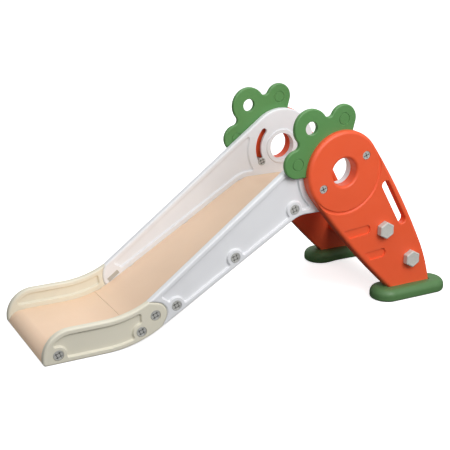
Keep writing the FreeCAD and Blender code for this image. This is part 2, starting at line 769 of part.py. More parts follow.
def drill_rail(body, centres, label):
    """Through holes for the shanks, and seats for the heads on the outer face."""
    sketch = circle_sketch(body, f"{label}_shank_holes", centres, "Sizes.screw_shank_r + Sizes.hole_gap",
                           "Sizes.rail_outer")
    pocket(body, sketch, "Sizes.rail_thick")
    sketch = circle_sketch(body, f"{label}_head_seats", centres, "Sizes.screw_head_r + Sizes.seat_gap",
                           "Sizes.rail_outer")
    pocket(body, sketch, "Sizes.screw_head_thick + Sizes.head_sink")


def build_rail_lower():
    """Cream rail: nose, two sunk panels and the outer half of the lap joint."""
    body = new_body("rail_lower_left")
    inner_outline = lower_rail_outline(tongue_curve(-size("lap_joint_gap")))
    outer_outline = lower_rail_outline(joint_curve(0))
    for half, outline, plane in (("inner", inner_outline, "inner"), ("outer", outer_outline, "mid")):
        sketch = new_sketch(body, f"lower_{half}", outline, offset=f"Sizes.rail_{plane}")
        pad(body, sketch, "Sizes.rail_thick / 2")
    for place in ("rail_inner", "rail_outer"):
        round_edges(body, in_plane_y(-size(place)), "Sizes.rail_edge_r", f"lower_{place}_round")
    screws = chute_screws[:LOWER_SCREWS]
    joint_pad = disc(knuckle, size("knuckle_r") + size("rim") / 2)
    sink_panel(body, "lower_outer_panel", outer_panel(outer_outline, screws, joint_pad), "rail_outer")
    sink_panel(body, "lower_inner_panel", inner_panel(inner_outline, []), "rail_inner")
    drill_rail(body, screws + [knuckle], "lower")
    return body


def build_rail_upper():
    """White rail: inner half of the lap joint, two sunk panels, the hub with its collar, and the guides."""
    body = new_body("rail_upper_left")
    inner_outline = upper_rail_outline(tongue_curve(0))
    outer_outline = upper_rail_outline(joint_curve(size("lap_joint_gap")))
    for half, outline, plane in (("inner", inner_outline, "inner"), ("outer", outer_outline, "mid")):
        sketch = new_sketch(body, f"upper_{half}", outline, offset=f"Sizes.rail_{plane}")
        pad(body, sketch, "Sizes.rail_thick / 2")
    for place in ("rail_inner", "rail_outer"):
        round_edges(body, in_plane_y(-size(place)), "Sizes.rail_edge_r", f"upper_{place}_round")

    screws = chute_screws[LOWER_SCREWS:]
    head_rim = disc(hub, size("carrot_head_r") + size("rim"))
    sink_panel(body, "upper_outer_panel", outer_panel(outer_outline, screws, head_rim), "rail_outer")
    guide_rim = disc(hub, size("rail_head_r"))
    plate_pad = disc(knuckle, size("plate_long"))
    sink_panel(body, "upper_inner_panel", inner_panel(inner_outline, [guide_rim, plate_pad]), "rail_inner")

    collar = circle_sketch(body, "upper_collar", [hub], "Sizes.collar_r", "Sizes.rail_inner")
    pad(body, collar, "Sizes.collar_high", reverse=True)
    collar_face = -(size("rail_inner") - size("collar_high"))
    round_edges(body, in_plane_y(collar_face), "Sizes.collar_high / 2", "upper_collar_round")
    bore = circle_sketch(body, "upper_bore", [hub], "Sizes.hub_bore_r", "Sizes.rail_outer")
    pocket(body, bore, "Sizes.rail_thick + Sizes.collar_high")
    seat = circle_sketch(body, "upper_spigot_seat", [hub], "Sizes.spigot_r + Sizes.running_gap",
                         "Sizes.rail_outer")
    pocket(body, seat, "Sizes.spigot_long")
    cut_guides(body)
    drill_rail(body, screws, "upper")
    plate = new_sketch(body, "upper_plate_seat", plate_corners(size("hole_gap")), offset="Sizes.rail_inner")
    pocket(body, plate, "Sizes.plate_thick + Sizes.head_sink", reverse=True)
    hole = circle_sketch(body, "upper_knuckle_hole", [knuckle], "Sizes.screw_shank_r + Sizes.hole_gap",
                         "Sizes.rail_outer")
    pocket(body, hole, "Sizes.rail_thick")
    return body


def guide_outline(index, half):
    """Arc slot about the hub, with round ends of a given radius."""
    radius = size("guide_r")
    last = size("guide_angle") + 180 * index
    first = last - size("fold_angle")
    return [
        round_arc(hub, radius + half, first, last),
        round_arc(polar(hub, radius, last), half, last, last + 180),
        round_arc(hub, radius - half, first, last),
        round_arc(polar(hub, radius, first), half, first + 180, first + 360),
    ]


def cut_guides(body):
    """Two arc slots opposite each other, each with a wide hollow behind it on the leg's side.

    The guide pins stand at the slots' ends when the legs are open.
    """
    half = size("slot_half")
    for index in range(2):
        slot = new_sketch(body, f"upper_guide_{index}", guide_outline(index, half), offset="Sizes.rail_outer")
        pocket(body, slot, "Sizes.rail_thick")
        hollow = guide_outline(index, half + size("recess_extra"))
        sketch = new_sketch(body, f"upper_guide_hollow_{index}", hollow, offset="Sizes.rail_outer")
        pocket(body, sketch, "Sizes.rail_thick - Sizes.recess_wall")


def plate_corners(extra):
    """Rounded rectangle of the nut plate, turned to the slope of the top edge."""
    long_half = size("plate_long") / 2 + extra
    high_half = size("plate_high") / 2 + extra
    turn = top_touch_angle - 90
    corners = []
    for along, across in ((-1, -1), (1, -1), (1, 1), (-1, 1)):
        shift = size("plate_shift") + along * long_half
        point = polar(polar(knuckle, shift, turn), across * high_half, turn + 90)
        corners.append((point[0], point[1], size("plate_corner_r")))
    return rounded_path(corners, closed=True)


# ---- fasteners ------------------------------------------------------------------------------------

def turned_part(y_inner, y_outer, radius, centre):
    """Cylinder across the slide, between two distances from the middle plane."""
    base = FreeCAD.Vector(centre[0], -y_inner, centre[1])
    return Part.makeCylinder(radius, y_outer - y_inner, base, OUTWARDS)


def screw_shape(centre, head_face, tip):
    """Pan-head screw with a cross slot; head_face and tip are distances from the middle plane."""
    head_r = size("screw_head_r")
    under = head_face - size("screw_head_thick")
    head = turned_part(under, head_face, head_r, centre)
    rim = [edge for edge in head.Edges if in_plane_y(-head_face)(edge)]
    head = head.makeFillet(size("screw_head_thick") * 0.4, rim)
    slot_deep = size("screw_head_thick") * 0.4
    slot_wide = head_r * 0.2
    for turn in (20, 110):
        long = head_r * 1.3
        slot = Part.makeBox(long, slot_deep, slot_wide, FreeCAD.Vector(-long / 2, 0, -slot_wide / 2))
        slot.rotate(FreeCAD.Vector(0, 0, 0), FreeCAD.Vector(0, 1, 0), turn)
        slot.translate(FreeCAD.Vector(centre[0], -head_face, centre[1]))
        head = head.cut(slot)
    shank = turned_part(tip, under + slot_deep, size("screw_shank_r"), centre)
    return head.fuse(shank).removeSplitter()


def add_feature(label, solids):
    """One node from one solid, or from several equal fasteners."""
    feature = doc.addObject("Part::Feature", label)
    feature.Label = label
    feature.Shape = solids[0] if len(solids) == 1 else Part.makeCompound(solids)
    return feature


def build_chute_screws():
    head_face = size("rail_outer") - size("head_sink")
    tip = size("rail_inner") - size("screw_grip")
    return add_feature("chute_screws_left", [screw_shape(centre, head_face, tip) for centre in chute_screws])


def build_knuckle_screw():
    """Screw through both rails, into the nut plate on the inner face."""
    head_face = size("rail_outer") - size("head_sink")
    plate_face = size("rail_inner") + size("head_sink")
    return add_feature("knuckle_screw_left", [screw_shape(knuckle, head_face, plate_face)])


def build_nut_plate():
    """Plate with a threaded hole, sunk in the inner face of the upper rail."""
    body = new_body("nut_plate_left")
    face = "Sizes.rail_inner + Sizes.head_sink"
    pad(body, new_sketch(body, "plate_outline", plate_corners(0), offset=face), "Sizes.plate_thick")
    hole = circle_sketch(body, "plate_hole", [knuckle], "Sizes.screw_shank_r", face)
    pocket(body, hole, "Sizes.plate_thick", reverse=True)
    return body


# ---- legs -----------------------------------------------------------------------------------------

STEPS = [
    ("step_upper", from_hub(size("upper_step_x"), size("upper_step_z"))),
    ("step_lower", from_hub(size("lower_step_x"), size("lower_step_z"))),
]
step_centres = [centre for _, centre in STEPS]
guide_pins = [polar(hub, size("guide_r"), size("guide_angle") + 180 * index) for index in range(2)]


def carrot_outline():
    """Leg seen from the side: round head, and two bowed edges that narrow towards the foot."""
    head_r = size("carrot_head_r")
    rear_angle = size("rear_edge_start")
    front_angle = size("front_edge_start")
    rear_middle = from_hub(size("rear_bow_x"), size("rear_bow_z"))
    rear_corner = from_hub(size("leg_bottom_rear"), size("leg_bottom_z"))
    front_corner = from_hub(size("leg_bottom_front"), size("leg_bottom_z"))
    upper_rear, heading = leaving_arc(polar(hub, head_r, rear_angle), rear_angle - 90, rear_middle)
    lower_rear, _ = leaving_arc(rear_middle, heading, rear_corner)
    front, _ = leaving_arc(polar(hub, head_r, front_angle), front_angle + 90, front_corner)
    return [
        upper_rear,
        lower_rear,
        line(rear_corner, front_corner),
        front,
        round_arc(hub, head_r, rear_angle, front_angle),
    ]


def leg_width_at(height):
    """Front and rear edge of the leg at a height above the floor."""
    level = Part.makeLine(FreeCAD.Vector(hub[0] - size("front_reach"), height, 0),
                          FreeCAD.Vector(hub[0] + size("front_reach"), height, 0))
    inside = face_of(carrot_outline()).common(level)
    return inside.BoundBox.XMin, inside.BoundBox.XMax


def handle_outline():
    """Round-ended hand hole that follows the rear edge of the leg."""
    half_wide = size("handle_wide") / 2
    upper, lower = (
        (leg_width_at(size(height))[1] - size("handle_inset"), size(height))
        for height in ("handle_upper_z", "handle_lower_z")
    )
    tilt = direction(lower, upper)
    return [
        line(polar(lower, half_wide, tilt - 90), polar(upper, half_wide, tilt - 90)),
        round_arc(upper, half_wide, tilt - 90, tilt + 90),
        line(polar(upper, half_wide, tilt + 90), polar(lower, half_wide, tilt + 90)),
        round_arc(lower, half_wide, tilt + 90, tilt + 270),
    ]


def mark_outline(place):
    """Sunk mark, slanted like the leg's edge at the front and round at the rear."""
    half = size("mark_wide") / 2
    lean = size("mark_lean")
    slant_half = half / math.sin(math.radians(size("mark_slant")))
    start = from_hub(size(f"{place}_mark_front"), size(f"{place}_mark_z"))
    end = polar(start, size(f"{place}_mark_long"), lean)
    front_bottom = polar(start, slant_half, lean - size("mark_slant"))
    front_top = polar(start, -slant_half, lean - size("mark_slant"))
    return [
        line(front_bottom, polar(end, half, lean - 90)),
        round_arc(end, half, lean - 90, lean + 90),
        line(polar(end, half, lean + 90), front_top),
        line(front_top, front_bottom),
    ]


def leaf_lobes():
    """Middle of the middle, the rear and the front lobe."""
    angle = size("leaf_angle")
    swing = size("leaf_side_angle")
    middle = polar(hub, size("leaf_reach"), angle)
    rear = polar(hub, size("leaf_side_reach"), angle - swing)
    front = polar(hub, size("leaf_side_reach"), angle + swing)
    return middle, rear, front


def notch_centre(first, first_r, second, second_r, radius, turn):
    """Centre of a circle that touches two others from outside."""
    near = first_r + radius
    far = second_r + radius
    apart = math.dist(first, second)
    swing = math.degrees(math.acos((near ** 2 + apart ** 2 - far ** 2) / (2 * near * apart)))
    return polar(first, near, direction(first, second) + turn * swing)


def leaf_face():
    """Three round lobes with soft notches between them, on a root that is hollow towards the hub."""
    angle = size("leaf_angle")
    root_half = size("leaf_root_half")
    middle, rear, front = leaf_lobes()
    mid_r = size("leaf_mid_r")
    side_r = size("leaf_side_r")
    notch_r = size("leaf_notch_r")
    pieces = [round_arc(hub, size("leaf_root_r"), angle - root_half, angle + root_half)]
    mid_touches = []
    for turn, lobe in ((-1, rear), (1, front)):
        root = polar(hub, size("leaf_root_r"), angle + turn * root_half)
        outer_touch = polar(lobe, side_r, tangent_angle(lobe, side_r, root, -turn))
        notch = notch_centre(middle, mid_r, lobe, side_r, notch_r, -turn)
        lobe_touch = polar(lobe, side_r, direction(lobe, notch))
        mid_touch = polar(middle, mid_r, direction(middle, notch))
        pieces += [
            line(root, outer_touch),
            arc(outer_touch, polar(lobe, side_r, direction(hub, lobe)), lobe_touch),
            arc(lobe_touch, polar(notch, notch_r, direction(notch, hub)), mid_touch),
        ]
        mid_touches.append(mid_touch)
    pieces.append(arc(mid_touches[0], polar(middle, mid_r, angle), mid_touches[1]))
    corner_r = size("leaf_corner_r")
    return grown(grown(face_of(pieces), -corner_r), corner_r)


def leaf_screw_centres():
    reach = (size("leaf_root_r") + size("carrot_head_r")) / 2
    swing = size("leaf_side_angle")
    return [polar(hub, reach, size("leaf_angle") + turn * swing) for turn in (-1, 1)]


def step_outline(centre, extra=0.0):
    """Rounded cross-section of a step."""
    half_deep = size("step_deep") / 2 + extra
    half_high = size("step_high") / 2 + extra
    radius = size("step_edge_r") + extra
    corners = []
    for along, up in ((-1, -1), (1, -1), (1, 1), (-1, 1)):
        corners.append((centre[0] + along * half_deep, centre[1] + up * half_high, radius))
    return rounded_path(corners, closed=True)


def cut_face_groove(body):
    """Round groove on the outer face, turned about the hub axis."""
    sketch = new_sketch(body, "carrot_groove", [], plane="YZ_Plane", offset="Sizes.hub_x")
    axis_line = Part.LineSegment(FreeCAD.Vector(0, hub[1], 0), FreeCAD.Vector(-size("leg_outer"), hub[1], 0))
    sketch.addGeometry(axis_line, True)
    tool_r = size("groove_tool_r")
    tool_centre = (-(size("leg_outer") + tool_r - size("groove_depth")), hub[1] - size("groove_r"))
    sketch.addGeometry(Part.Circle(vec(tool_centre), FreeCAD.Vector(0, 0, 1), tool_r), False)
    before = volume_of(body)
    feature = body.newObject("PartDesign::Groove", "carrot_groove_cut")
    feature.Profile = sketch
    feature.ReferenceAxis = (sketch, ["Axis0"])
    feature.Angle = 360
    check_step(feature, before, False)


def build_carrot():
    """Leg: moulded slab with a flared hub, a spigot, a hand hole, marks and seats for its fittings."""
    body = new_body("carrot_left")
    inner = "Sizes.leg_inner"
    outer = "Sizes.leg_outer"
    pad(body, new_sketch(body, "carrot_shape", carrot_outline(), offset=inner), "Sizes.carrot_thick")
    bottom = size("leg_bottom_z")
    round_edges(body, rim_above(-size("leg_outer"), bottom), "Sizes.carrot_edge_r", "carrot_outer_round")
    round_edges(body, rim_above(-size("leg_inner"), bottom), "Sizes.carrot_inner_r", "carrot_inner_round")
    cut_face_groove(body)

    pad(body, circle_sketch(body, "carrot_spigot", [hub], "Sizes.spigot_r", inner),
        "Sizes.spigot_long", reverse=True)
    pocket(body, circle_sketch(body, "carrot_bore", [hub], "Sizes.hub_bore_r", outer),
           "Sizes.carrot_thick + Sizes.spigot_long")
    on_outer = in_plane_y(-size("leg_outer"))
    on_inner = in_plane_y(-size("leg_inner"))

    def is_mouth(edge):
        return on_outer(edge) and math.dist((edge.CenterOfMass.x, edge.CenterOfMass.z), hub) < 1 \
            and edge.BoundBox.XLength < 2 * size("mouth_r")

    round_edges(body, is_mouth, "Sizes.mouth_r - Sizes.hub_bore_r", "carrot_mouth")
    pocket(body, new_sketch(body, "hand_hole", handle_outline(), offset=outer), "Sizes.carrot_thick")

    hand_wire = wire_of(handle_outline())

    def on_hand_hole(edge):
        middle = edge.valueAt((edge.FirstParameter + edge.LastParameter) / 2)
        return hand_wire.distToShape(Part.Vertex(middle.x, middle.z, 0))[0] < 1e-4

    round_edges(body, lambda edge: on_outer(edge) and on_hand_hole(edge), "Sizes.handle_edge_r",
                "hand_hole_outer_round")
    round_edges(body, lambda edge: on_inner(edge) and on_hand_hole(edge), "Sizes.handle_inner_r",
                "hand_hole_inner_round")

    for place in ("upper", "lower"):
        pocket(body, new_sketch(body, f"{place}_mark", mark_outline(place), offset=outer), "Sizes.mark_depth")
    leaf_seat = outline_of(grown(leaf_face(), size("leaf_gap")))
    pocket(body, new_sketch(body, "leaf_seat", leaf_seat, offset=inner),
           "Sizes.leaf_thick + Sizes.leaf_gap", reverse=True)
    for step_name, centre in STEPS:
        outline = step_outline(centre, size("socket_gap"))
        pocket(body, new_sketch(body, f"{step_name}_seat", outline, offset=inner),
               "Sizes.step_seat + Sizes.socket_gap", reverse=True)
    for name, centres, radius, depth in (
            ("bolt_holes", step_centres, "Sizes.bolt_r + Sizes.hole_gap", "Sizes.carrot_thick"),
            ("pin_holes", guide_pins, "Sizes.pin_r + Sizes.hole_gap", "Sizes.carrot_thick"),
            ("pin_seats", guide_pins, "Sizes.pin_head_r + Sizes.seat_gap",
             "Sizes.pin_head_thick + Sizes.head_sink"),
            ("leaf_screw_holes", leaf_screw_centres(), "Sizes.small_shank_r", "Sizes.carrot_thick")):
        if name == "leaf_screw_holes":
            sketch = circle_sketch(body, name, centres, radius, "Sizes.leg_inner + Sizes.leaf_thick")
            pocket(body, sketch, "Sizes.small_grip + Sizes.leaf_gap + 1", reverse=True)
        else:
            pocket(body, circle_sketch(body, name, centres, radius, outer), depth)
    sketch = new_sketch(body, "foot_screw_holes", foot_screw_circles(size("small_shank_r")), plane="XY_Plane",
                        offset="Sizes.leg_bottom_z")
    pocket(body, sketch, "Sizes.foot_screw_grip + 1", reverse=True)
    return body


def foot_screw_centres():
    """Two screws on the middle line of the leg, seen from above."""
    front = hub[0] + size("leg_bottom_front")
    rear = hub[0] + size("leg_bottom_rear")
    middle_y = -(size("leg_inner") + size("leg_outer")) / 2
    inset_x = (rear - front) * 0.22
    return [(front + inset_x, middle_y), (rear - inset_x, middle_y)]


def foot_screw_circles(radius):
    return [Part.Circle(vec(centre), FreeCAD.Vector(0, 0, 1), radius) for centre in foot_screw_centres()]


def build_leaf():
    """Leaf: three-lobed plate that sits in the inner half of the leg."""
    body = new_body("leaf_left")
    inner = "Sizes.leg_inner + Sizes.moving_gap"
    inner_y = -(size("leg_inner") + size("moving_gap"))
    outer_y = -(size("leg_inner") + size("leaf_thick"))
    pad(body, new_sketch(body, "leaf_shape", outline_of(leaf_face()), offset=inner),
        "Sizes.leaf_thick - Sizes.moving_gap")
    round_edges(body, in_plane_y(outer_y), "Sizes.leaf_edge_r", "leaf_outer_round")
    round_edges(body, in_plane_y(inner_y), "Sizes.leaf_edge_r", "leaf_inner_round")
    middle, rear, front = leaf_lobes()
    pocket(body, circle_sketch(body, "leaf_hole", [middle], "Sizes.leaf_hole_r", inner),
           "Sizes.leaf_thick", reverse=True)

    def is_hole(edge):
        return edge.isClosed() and edge.BoundBox.XLength < 2.1 * size("leaf_hole_r") \
            and (in_plane_y(inner_y)(edge) or in_plane_y(outer_y)(edge))

    round_edges(body, is_hole, "Sizes.leaf_edge_r / 2", "leaf_hole_round")
    outer = "Sizes.leg_inner + Sizes.leaf_thick"
    for place, offset, reverse in (("inner", inner, True), ("outer", outer, False)):
        rings = []
        for centre in (rear, front):
            for radius in (size("ring_r"), size("ring_r") - size("ring_wide")):
                rings.append(Part.Circle(vec(centre), FreeCAD.Vector(0, 0, 1), radius))
        pocket(body, new_sketch(body, f"leaf_{place}_rings", rings, offset=offset), "Sizes.ring_depth",
               reverse=reverse)
    centres = leaf_screw_centres()
    for name, radius, depth in (("shanks", "small_shank_r", "Sizes.leaf_thick"),
                                ("seats", "small_head_r", "Sizes.small_head_thick + Sizes.head_sink")):
        sketch = circle_sketch(body, f"leaf_screw_{name}", centres, f"Sizes.{radius} + Sizes.hole_gap", inner)
        pocket(body, sketch, depth, reverse=True)
    return body


def build_leaf_screws():
    """Small screws from the inner side, through the leaf's root into the leg."""
    solids = []
    head_in = size("leg_inner") + size("moving_gap") + size("head_sink")
    head_out = head_in + size("small_head_thick")
    tip = size("leg_inner") + size("leaf_thick") + size("small_grip")
    for centre in leaf_screw_centres():
        head = turned_part(head_in, head_out, size("small_head_r"), centre)
        shank = turned_part(head_out - 0.5, tip, size("small_shank_r"), centre)
        solids.append(head.fuse(shank).removeSplitter())
    return add_feature("leaf_screws_left", solids)


def foot_outline():
    """Foot seen from above: round ends, straight outer side, shallow waist on the inner side."""
    outer = -size("foot_outer")
    inner = -size("foot_inner")
    radius = size("foot_wide") / 2
    middle_y = (outer + inner) / 2
    front_x = hub[0] + size("foot_front") + radius
    rear_x = hub[0] + size("foot_rear") - radius
    waist_y = inner - size("foot_waist")
    half_waist = (rear_x - front_x) * 0.14
    middle_x = (front_x + rear_x) / 2
    pieces = [
        line((front_x, outer), (rear_x, outer)),
        arc((rear_x, outer), (rear_x + radius, middle_y), (rear_x, inner)),
        arc((front_x, inner), (front_x - radius, middle_y), (front_x, outer)),
        line((middle_x - half_waist, waist_y), (middle_x + half_waist, waist_y)),
    ]
    for end, level, heading in ((front_x, middle_x - half_waist, 0), (rear_x, middle_x + half_waist, 180)):
        half_way = ((end + level) / 2, (inner + waist_y) / 2)
        pieces.append(leaving_arc((end, inner), heading, half_way)[0])
        pieces.append(leaving_arc((level, waist_y), heading + 180, half_way)[0])
    return pieces


def at_height(height):
    """Test for edges that lie at one height."""
    def test(edge):
        return all(abs(edge.valueAt(parameter).z - height) < 1e-4 for parameter in
                   (edge.FirstParameter, (edge.FirstParameter + edge.LastParameter) / 2, edge.LastParameter))
    return test


def build_foot():
    """Foot pad with a socket for the end of its leg and seats for two screws from below."""
    body = new_body("foot_left")
    pad(body, new_sketch(body, "foot_shape", foot_outline(), plane="XY_Plane"), "Sizes.foot_high")
    round_edges(body, at_height(size("foot_high")), "Sizes.foot_top_r", "foot_top_round")
    round_edges(body, at_height(0), "Sizes.foot_sole_r", "foot_sole_round")
    gap = size("socket_gap")
    top_front, top_rear = leg_width_at(size("foot_high"))
    low_front, low_rear = leg_width_at(size("leg_bottom_z") + 0.01)
    front = min(top_front, low_front)
    rear = max(top_rear, low_rear)
    inner = -(size("leg_inner") - gap)
    outer = -(size("leg_outer") + gap)
    corners = [
        (front - gap, outer, 0),
        (rear + gap, outer, 0),
        (rear + gap, inner, 0),
        (front - gap, inner, 0),
    ]
    pocket(body, new_sketch(body, "leg_socket", rounded_path(corners, closed=True), plane="XY_Plane",
                            offset="Sizes.foot_high"), "Sizes.foot_high - Sizes.leg_bottom_z")
    for name, radius, depth in (("shank_holes", "small_shank_r", "foot_high"),
                                ("head_seats", "small_head_r", "foot_screw_sink")):
        circles = foot_screw_circles(size(radius) + size("hole_gap"))
        sketch = new_sketch(body, f"foot_{name}", circles, plane="XY_Plane")
        pocket(body, sketch, f"Sizes.{depth}", reverse=True)
    return body


def build_foot_screws():
    """Screws from below, through the foot into the end of the leg."""
    solids = []
    head_top = size("foot_screw_sink")
    up = FreeCAD.Vector(0, 0, 1)
    for x, y in foot_screw_centres():
        head = Part.makeCylinder(size("small_head_r"), size("small_head_thick"),
                                 FreeCAD.Vector(x, y, head_top - size("small_head_thick")), up)
        length = size("leg_bottom_z") + size("foot_screw_grip") - head_top + 0.5
        shank = Part.makeCylinder(size("small_shank_r"), length, FreeCAD.Vector(x, y, head_top - 0.5), up)
        solids.append(head.fuse(shank).removeSplitter())
    return add_feature("foot_screws_left", solids)


def build_step(name, centre):
    """Step: round-edged bar between the legs, with grip grooves in its tread and a bore in each end."""
    body = new_body(name)
    pad(body, new_sketch(body, f"{name}_profile", step_outline(centre)),
        "2 * (Sizes.leg_inner + Sizes.step_seat)", symmetric=True)
    pitch = size("grip_pitch")
    tread = size("step_deep") - 2 * size("step_edge_r") - size("grip_wide")
    last = int(tread / 2 / pitch)
    top = centre[1] + size("step_high") / 2
    half = size("grip_wide") / 2
    deep = size("grip_deep")
    for index in range(-last, last + 1):
        x = centre[0] + index * pitch
        corners = [(x - half, top + deep, 0), (x - half, top - deep, 0), (x + half, top - deep, 0),
                   (x + half, top + deep, 0)]
        sketch = new_sketch(body, f"{name}_grip_{index + last}", rounded_path(corners, closed=True))
        pocket(body, sketch, "2 * Sizes.leg_inner - 2 * Sizes.rim", symmetric=True)
    for side_name, side in SIDES:
        offset = f"{-side} * (Sizes.leg_inner + Sizes.step_seat)"
        sketch = circle_sketch(body, f"{name}_bore_{side_name}", [centre], "Sizes.bolt_r", offset)
        pocket(body, sketch, "Sizes.bolt_grip + 2", reverse=side == RIGHT)
    return body


def build_step_bolts():
    """Big hexagon-headed bolts, one for each step."""
    solids = []
    head_in = size("leg_outer")
    head_thick = size("bolt_head_thick")
    corner_r = size("bolt_hex") / 2 / math.cos(math.radians(30))
    for centre in step_centres:
        points = [polar(centre, corner_r, size("bolt_turn") + 60 * index) for index in range(7)]
        wire = Part.makePolygon([FreeCAD.Vector(x, -head_in, z) for x, z in points])
        head = Part.Face(wire).extrude(OUTWARDS * head_thick)
        cone = Part.makeCone(corner_r + head_thick * 0.3, corner_r - head_thick * 0.15, head_thick,
                             FreeCAD.Vector(centre[0], -head_in, centre[1]), OUTWARDS)
        shank = turned_part(size("leg_inner") + size("step_seat") - size("bolt_grip"), head_in + 1,
                            size("bolt_r"), centre)
        solids.append(head.common(cone).fuse(shank).removeSplitter())
    return add_feature("step_bolts_left", solids)


def guide_pin_planes():
    """Distances from the middle plane: nut flange face, screw seat and the end of the nut's barrel."""
    flange_face = size("rail_inner") - size("moving_gap")
    return flange_face, size("pin_seat"), size("pin_seat") - size("pin_head_thick") - 2


def build_guide_screws():
    """Screws from outside that hold the guide nuts to the leg."""
    flange_face, seat, _ = guide_pin_planes()
    head_out = size("leg_outer") - size("head_sink")
    solids = []
    for centre in guide_pins:
        head = turned_part(seat, head_out, size("pin_head_r"), centre)
        shank = turned_part(flange_face + 2, seat + 0.5, size("pin_screw_r"), centre)
        solids.append(head.fuse(shank).removeSplitter())
    return add_feature("guide_screws_left", solids)


def build_guide_nuts():
    """Flanged nuts whose barrels run in the arc slots of the rail."""
    flange_face, _, barrel_end = guide_pin_planes()
    solids = []
    for centre in guide_pins:
        flange = turned_part(flange_face - size("pin_head_thick"), flange_face, size("pin_head_r"), centre)
        edge = [item for item in flange.Edges if in_plane_y(size("pin_head_thick") - flange_face)(item)]
        flange = flange.makeFillet(size("pin_head_thick") * 0.4, edge)
        barrel = turned_part(flange_face - 0.5, barrel_end, size("pin_r"), centre)
        bore = turned_part(flange_face + 2, barrel_end + 1, size("pin_screw_r"), centre)
        solids.append(flange.fuse(barrel).removeSplitter().cut(bore))
    return add_feature("guide_nuts_left", solids)


# ---- build ----------------------------------------------------------------------------------------

middle_parts = [build_chute_lower(), build_chute_upper()]
middle_parts += [build_step(name, centre) for name, centre in STEPS]
left_parts = [
    build_rail_lower(),
    build_rail_upper(),
    build_chute_screws(),
    build_knuckle_screw(),
    build_nut_plate(),
    build_carrot(),
    build_leaf(),
    build_leaf_screws(),
    build_foot(),
    build_foot_screws(),
    build_step_bolts(),
    build_guide_screws(),
    build_guide_nuts(),
]
right_parts = []
for part in left_parts:
    label = part.Label.replace("_left", "_right")
    twin = doc.addObject("Part::Mirroring", label)
    twin.Label = label
    twin.Source = part
    twin.Normal = (0, 1, 0)
    right_parts.append(twin)

doc.recompute()
parts = middle_parts + left_parts + right_parts
for item in doc.Objects:
    if "Invalid" in item.State or "Error" in item.State:
        raise RuntimeError(f"{item.Label} failed to recompute")
for part in parts:
    if part.Shape.isNull() or not part.Shape.isValid():
        raise RuntimeError(f"{part.Label} has no valid shape")

os.makedirs("parts", exist_ok=True)
for part in parts:
    part.Shape.exportStep(f"parts/{part.Label}.step")
    print(f"{part.Label}: {len(part.Shape.Solids)} solids, {part.Shape.Volume / 1000:.1f} cm3")
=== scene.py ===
# %% [markdown]
# # A folding toddler slide: looks
#
# The measured parts of the slide come from CAD and stay where they are. This script gives each of them its
# finish, swaps the plain screws and bolts for detailed ones, and sets up a pale studio. Every step has a
# short note first: what the piece is on the real slide, how it could be made, and why this way was chosen.

# %% Load the measured parts
import math
import bmesh
import bpy
from mathutils import Matrix, Vector


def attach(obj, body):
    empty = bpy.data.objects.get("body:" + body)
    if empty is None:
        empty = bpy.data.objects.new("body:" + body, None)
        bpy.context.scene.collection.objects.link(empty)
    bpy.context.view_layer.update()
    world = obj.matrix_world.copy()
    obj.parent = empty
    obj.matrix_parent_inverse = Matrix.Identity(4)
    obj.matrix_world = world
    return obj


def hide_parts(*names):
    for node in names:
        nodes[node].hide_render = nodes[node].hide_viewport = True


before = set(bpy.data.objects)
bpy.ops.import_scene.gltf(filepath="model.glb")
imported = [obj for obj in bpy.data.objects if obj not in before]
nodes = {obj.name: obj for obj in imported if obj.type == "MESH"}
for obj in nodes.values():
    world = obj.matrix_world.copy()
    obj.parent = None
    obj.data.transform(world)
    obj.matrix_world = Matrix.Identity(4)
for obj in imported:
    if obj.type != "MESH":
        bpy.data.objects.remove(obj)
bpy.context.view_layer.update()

SIDES = (("left", -1), ("right", 1))

# %% [markdown]
# ## Shared effects
#
# Blow-moulded plastic is never perfectly even: its skin has a very fine orange peel from the mould, its colour
# drifts a little where the wall is thicker, and the gloss breaks up where hands and shoes have rubbed it.
# Painting that by hand would need images. A node group with named inputs does it from plain noise on the
# object's own coordinates, so each plastic sets its own amounts.

# %% Helpers for building node groups


def add_node(tree, kind, label="", **settings):
    """Add a node and set its properties or input values by name."""
    node = tree.nodes.new(kind)
    node.label = label
    for name, value in settings.items():
        if hasattr(node, name):
            setattr(node, name, value)
        else:
            node.inputs[name.replace("_", " ")].default_value = value
    return node


def math_node(tree, operation, first, second=None, clamp=False):
    """A Math node whose inputs are links or plain numbers; returns its output."""
    node = tree.nodes.new("ShaderNodeMath")
    node.operation = operation
    node.use_clamp = clamp
    for index, value in enumerate((first, second)):
        if value is None:
            continue
        if isinstance(value, (int, float)):
            node.inputs[index].default_value = value
        else:
            tree.links.new(value, node.inputs[index])
    return node.outputs[0]


def new_group(name, inputs, outputs):
    """An empty shader group with float inputs and the named outputs."""
    group = bpy.data.node_groups.new(name, "ShaderNodeTree")
    for label, default in inputs.items():
        socket = group.interface.new_socket(label, in_out="INPUT", socket_type="NodeSocketFloat")
        socket.default_value = default
    for label, kind in outputs.items():
        group.interface.new_socket(label, in_out="OUTPUT", socket_type=kind)
    start = group.nodes.new("NodeGroupInput")
    end = group.nodes.new("NodeGroupOutput")
    return group, start, end


def noise(tree, vector, scale, detail=2.0, roughness=0.5):
    """Noise texture on a vector, with a linked or plain scale; returns its value."""
    node = tree.nodes.new("ShaderNodeTexNoise")
    node.inputs["Detail"].default_value = detail
    node.inputs["Roughness"].default_value = roughness
    tree.links.new(vector, node.inputs["Vector"])
    if isinstance(scale, (int, float)):
        node.inputs["Scale"].default_value = scale
    else:
        tree.links.new(scale, node.inputs["Scale"])
    return node.outputs["Fac"]


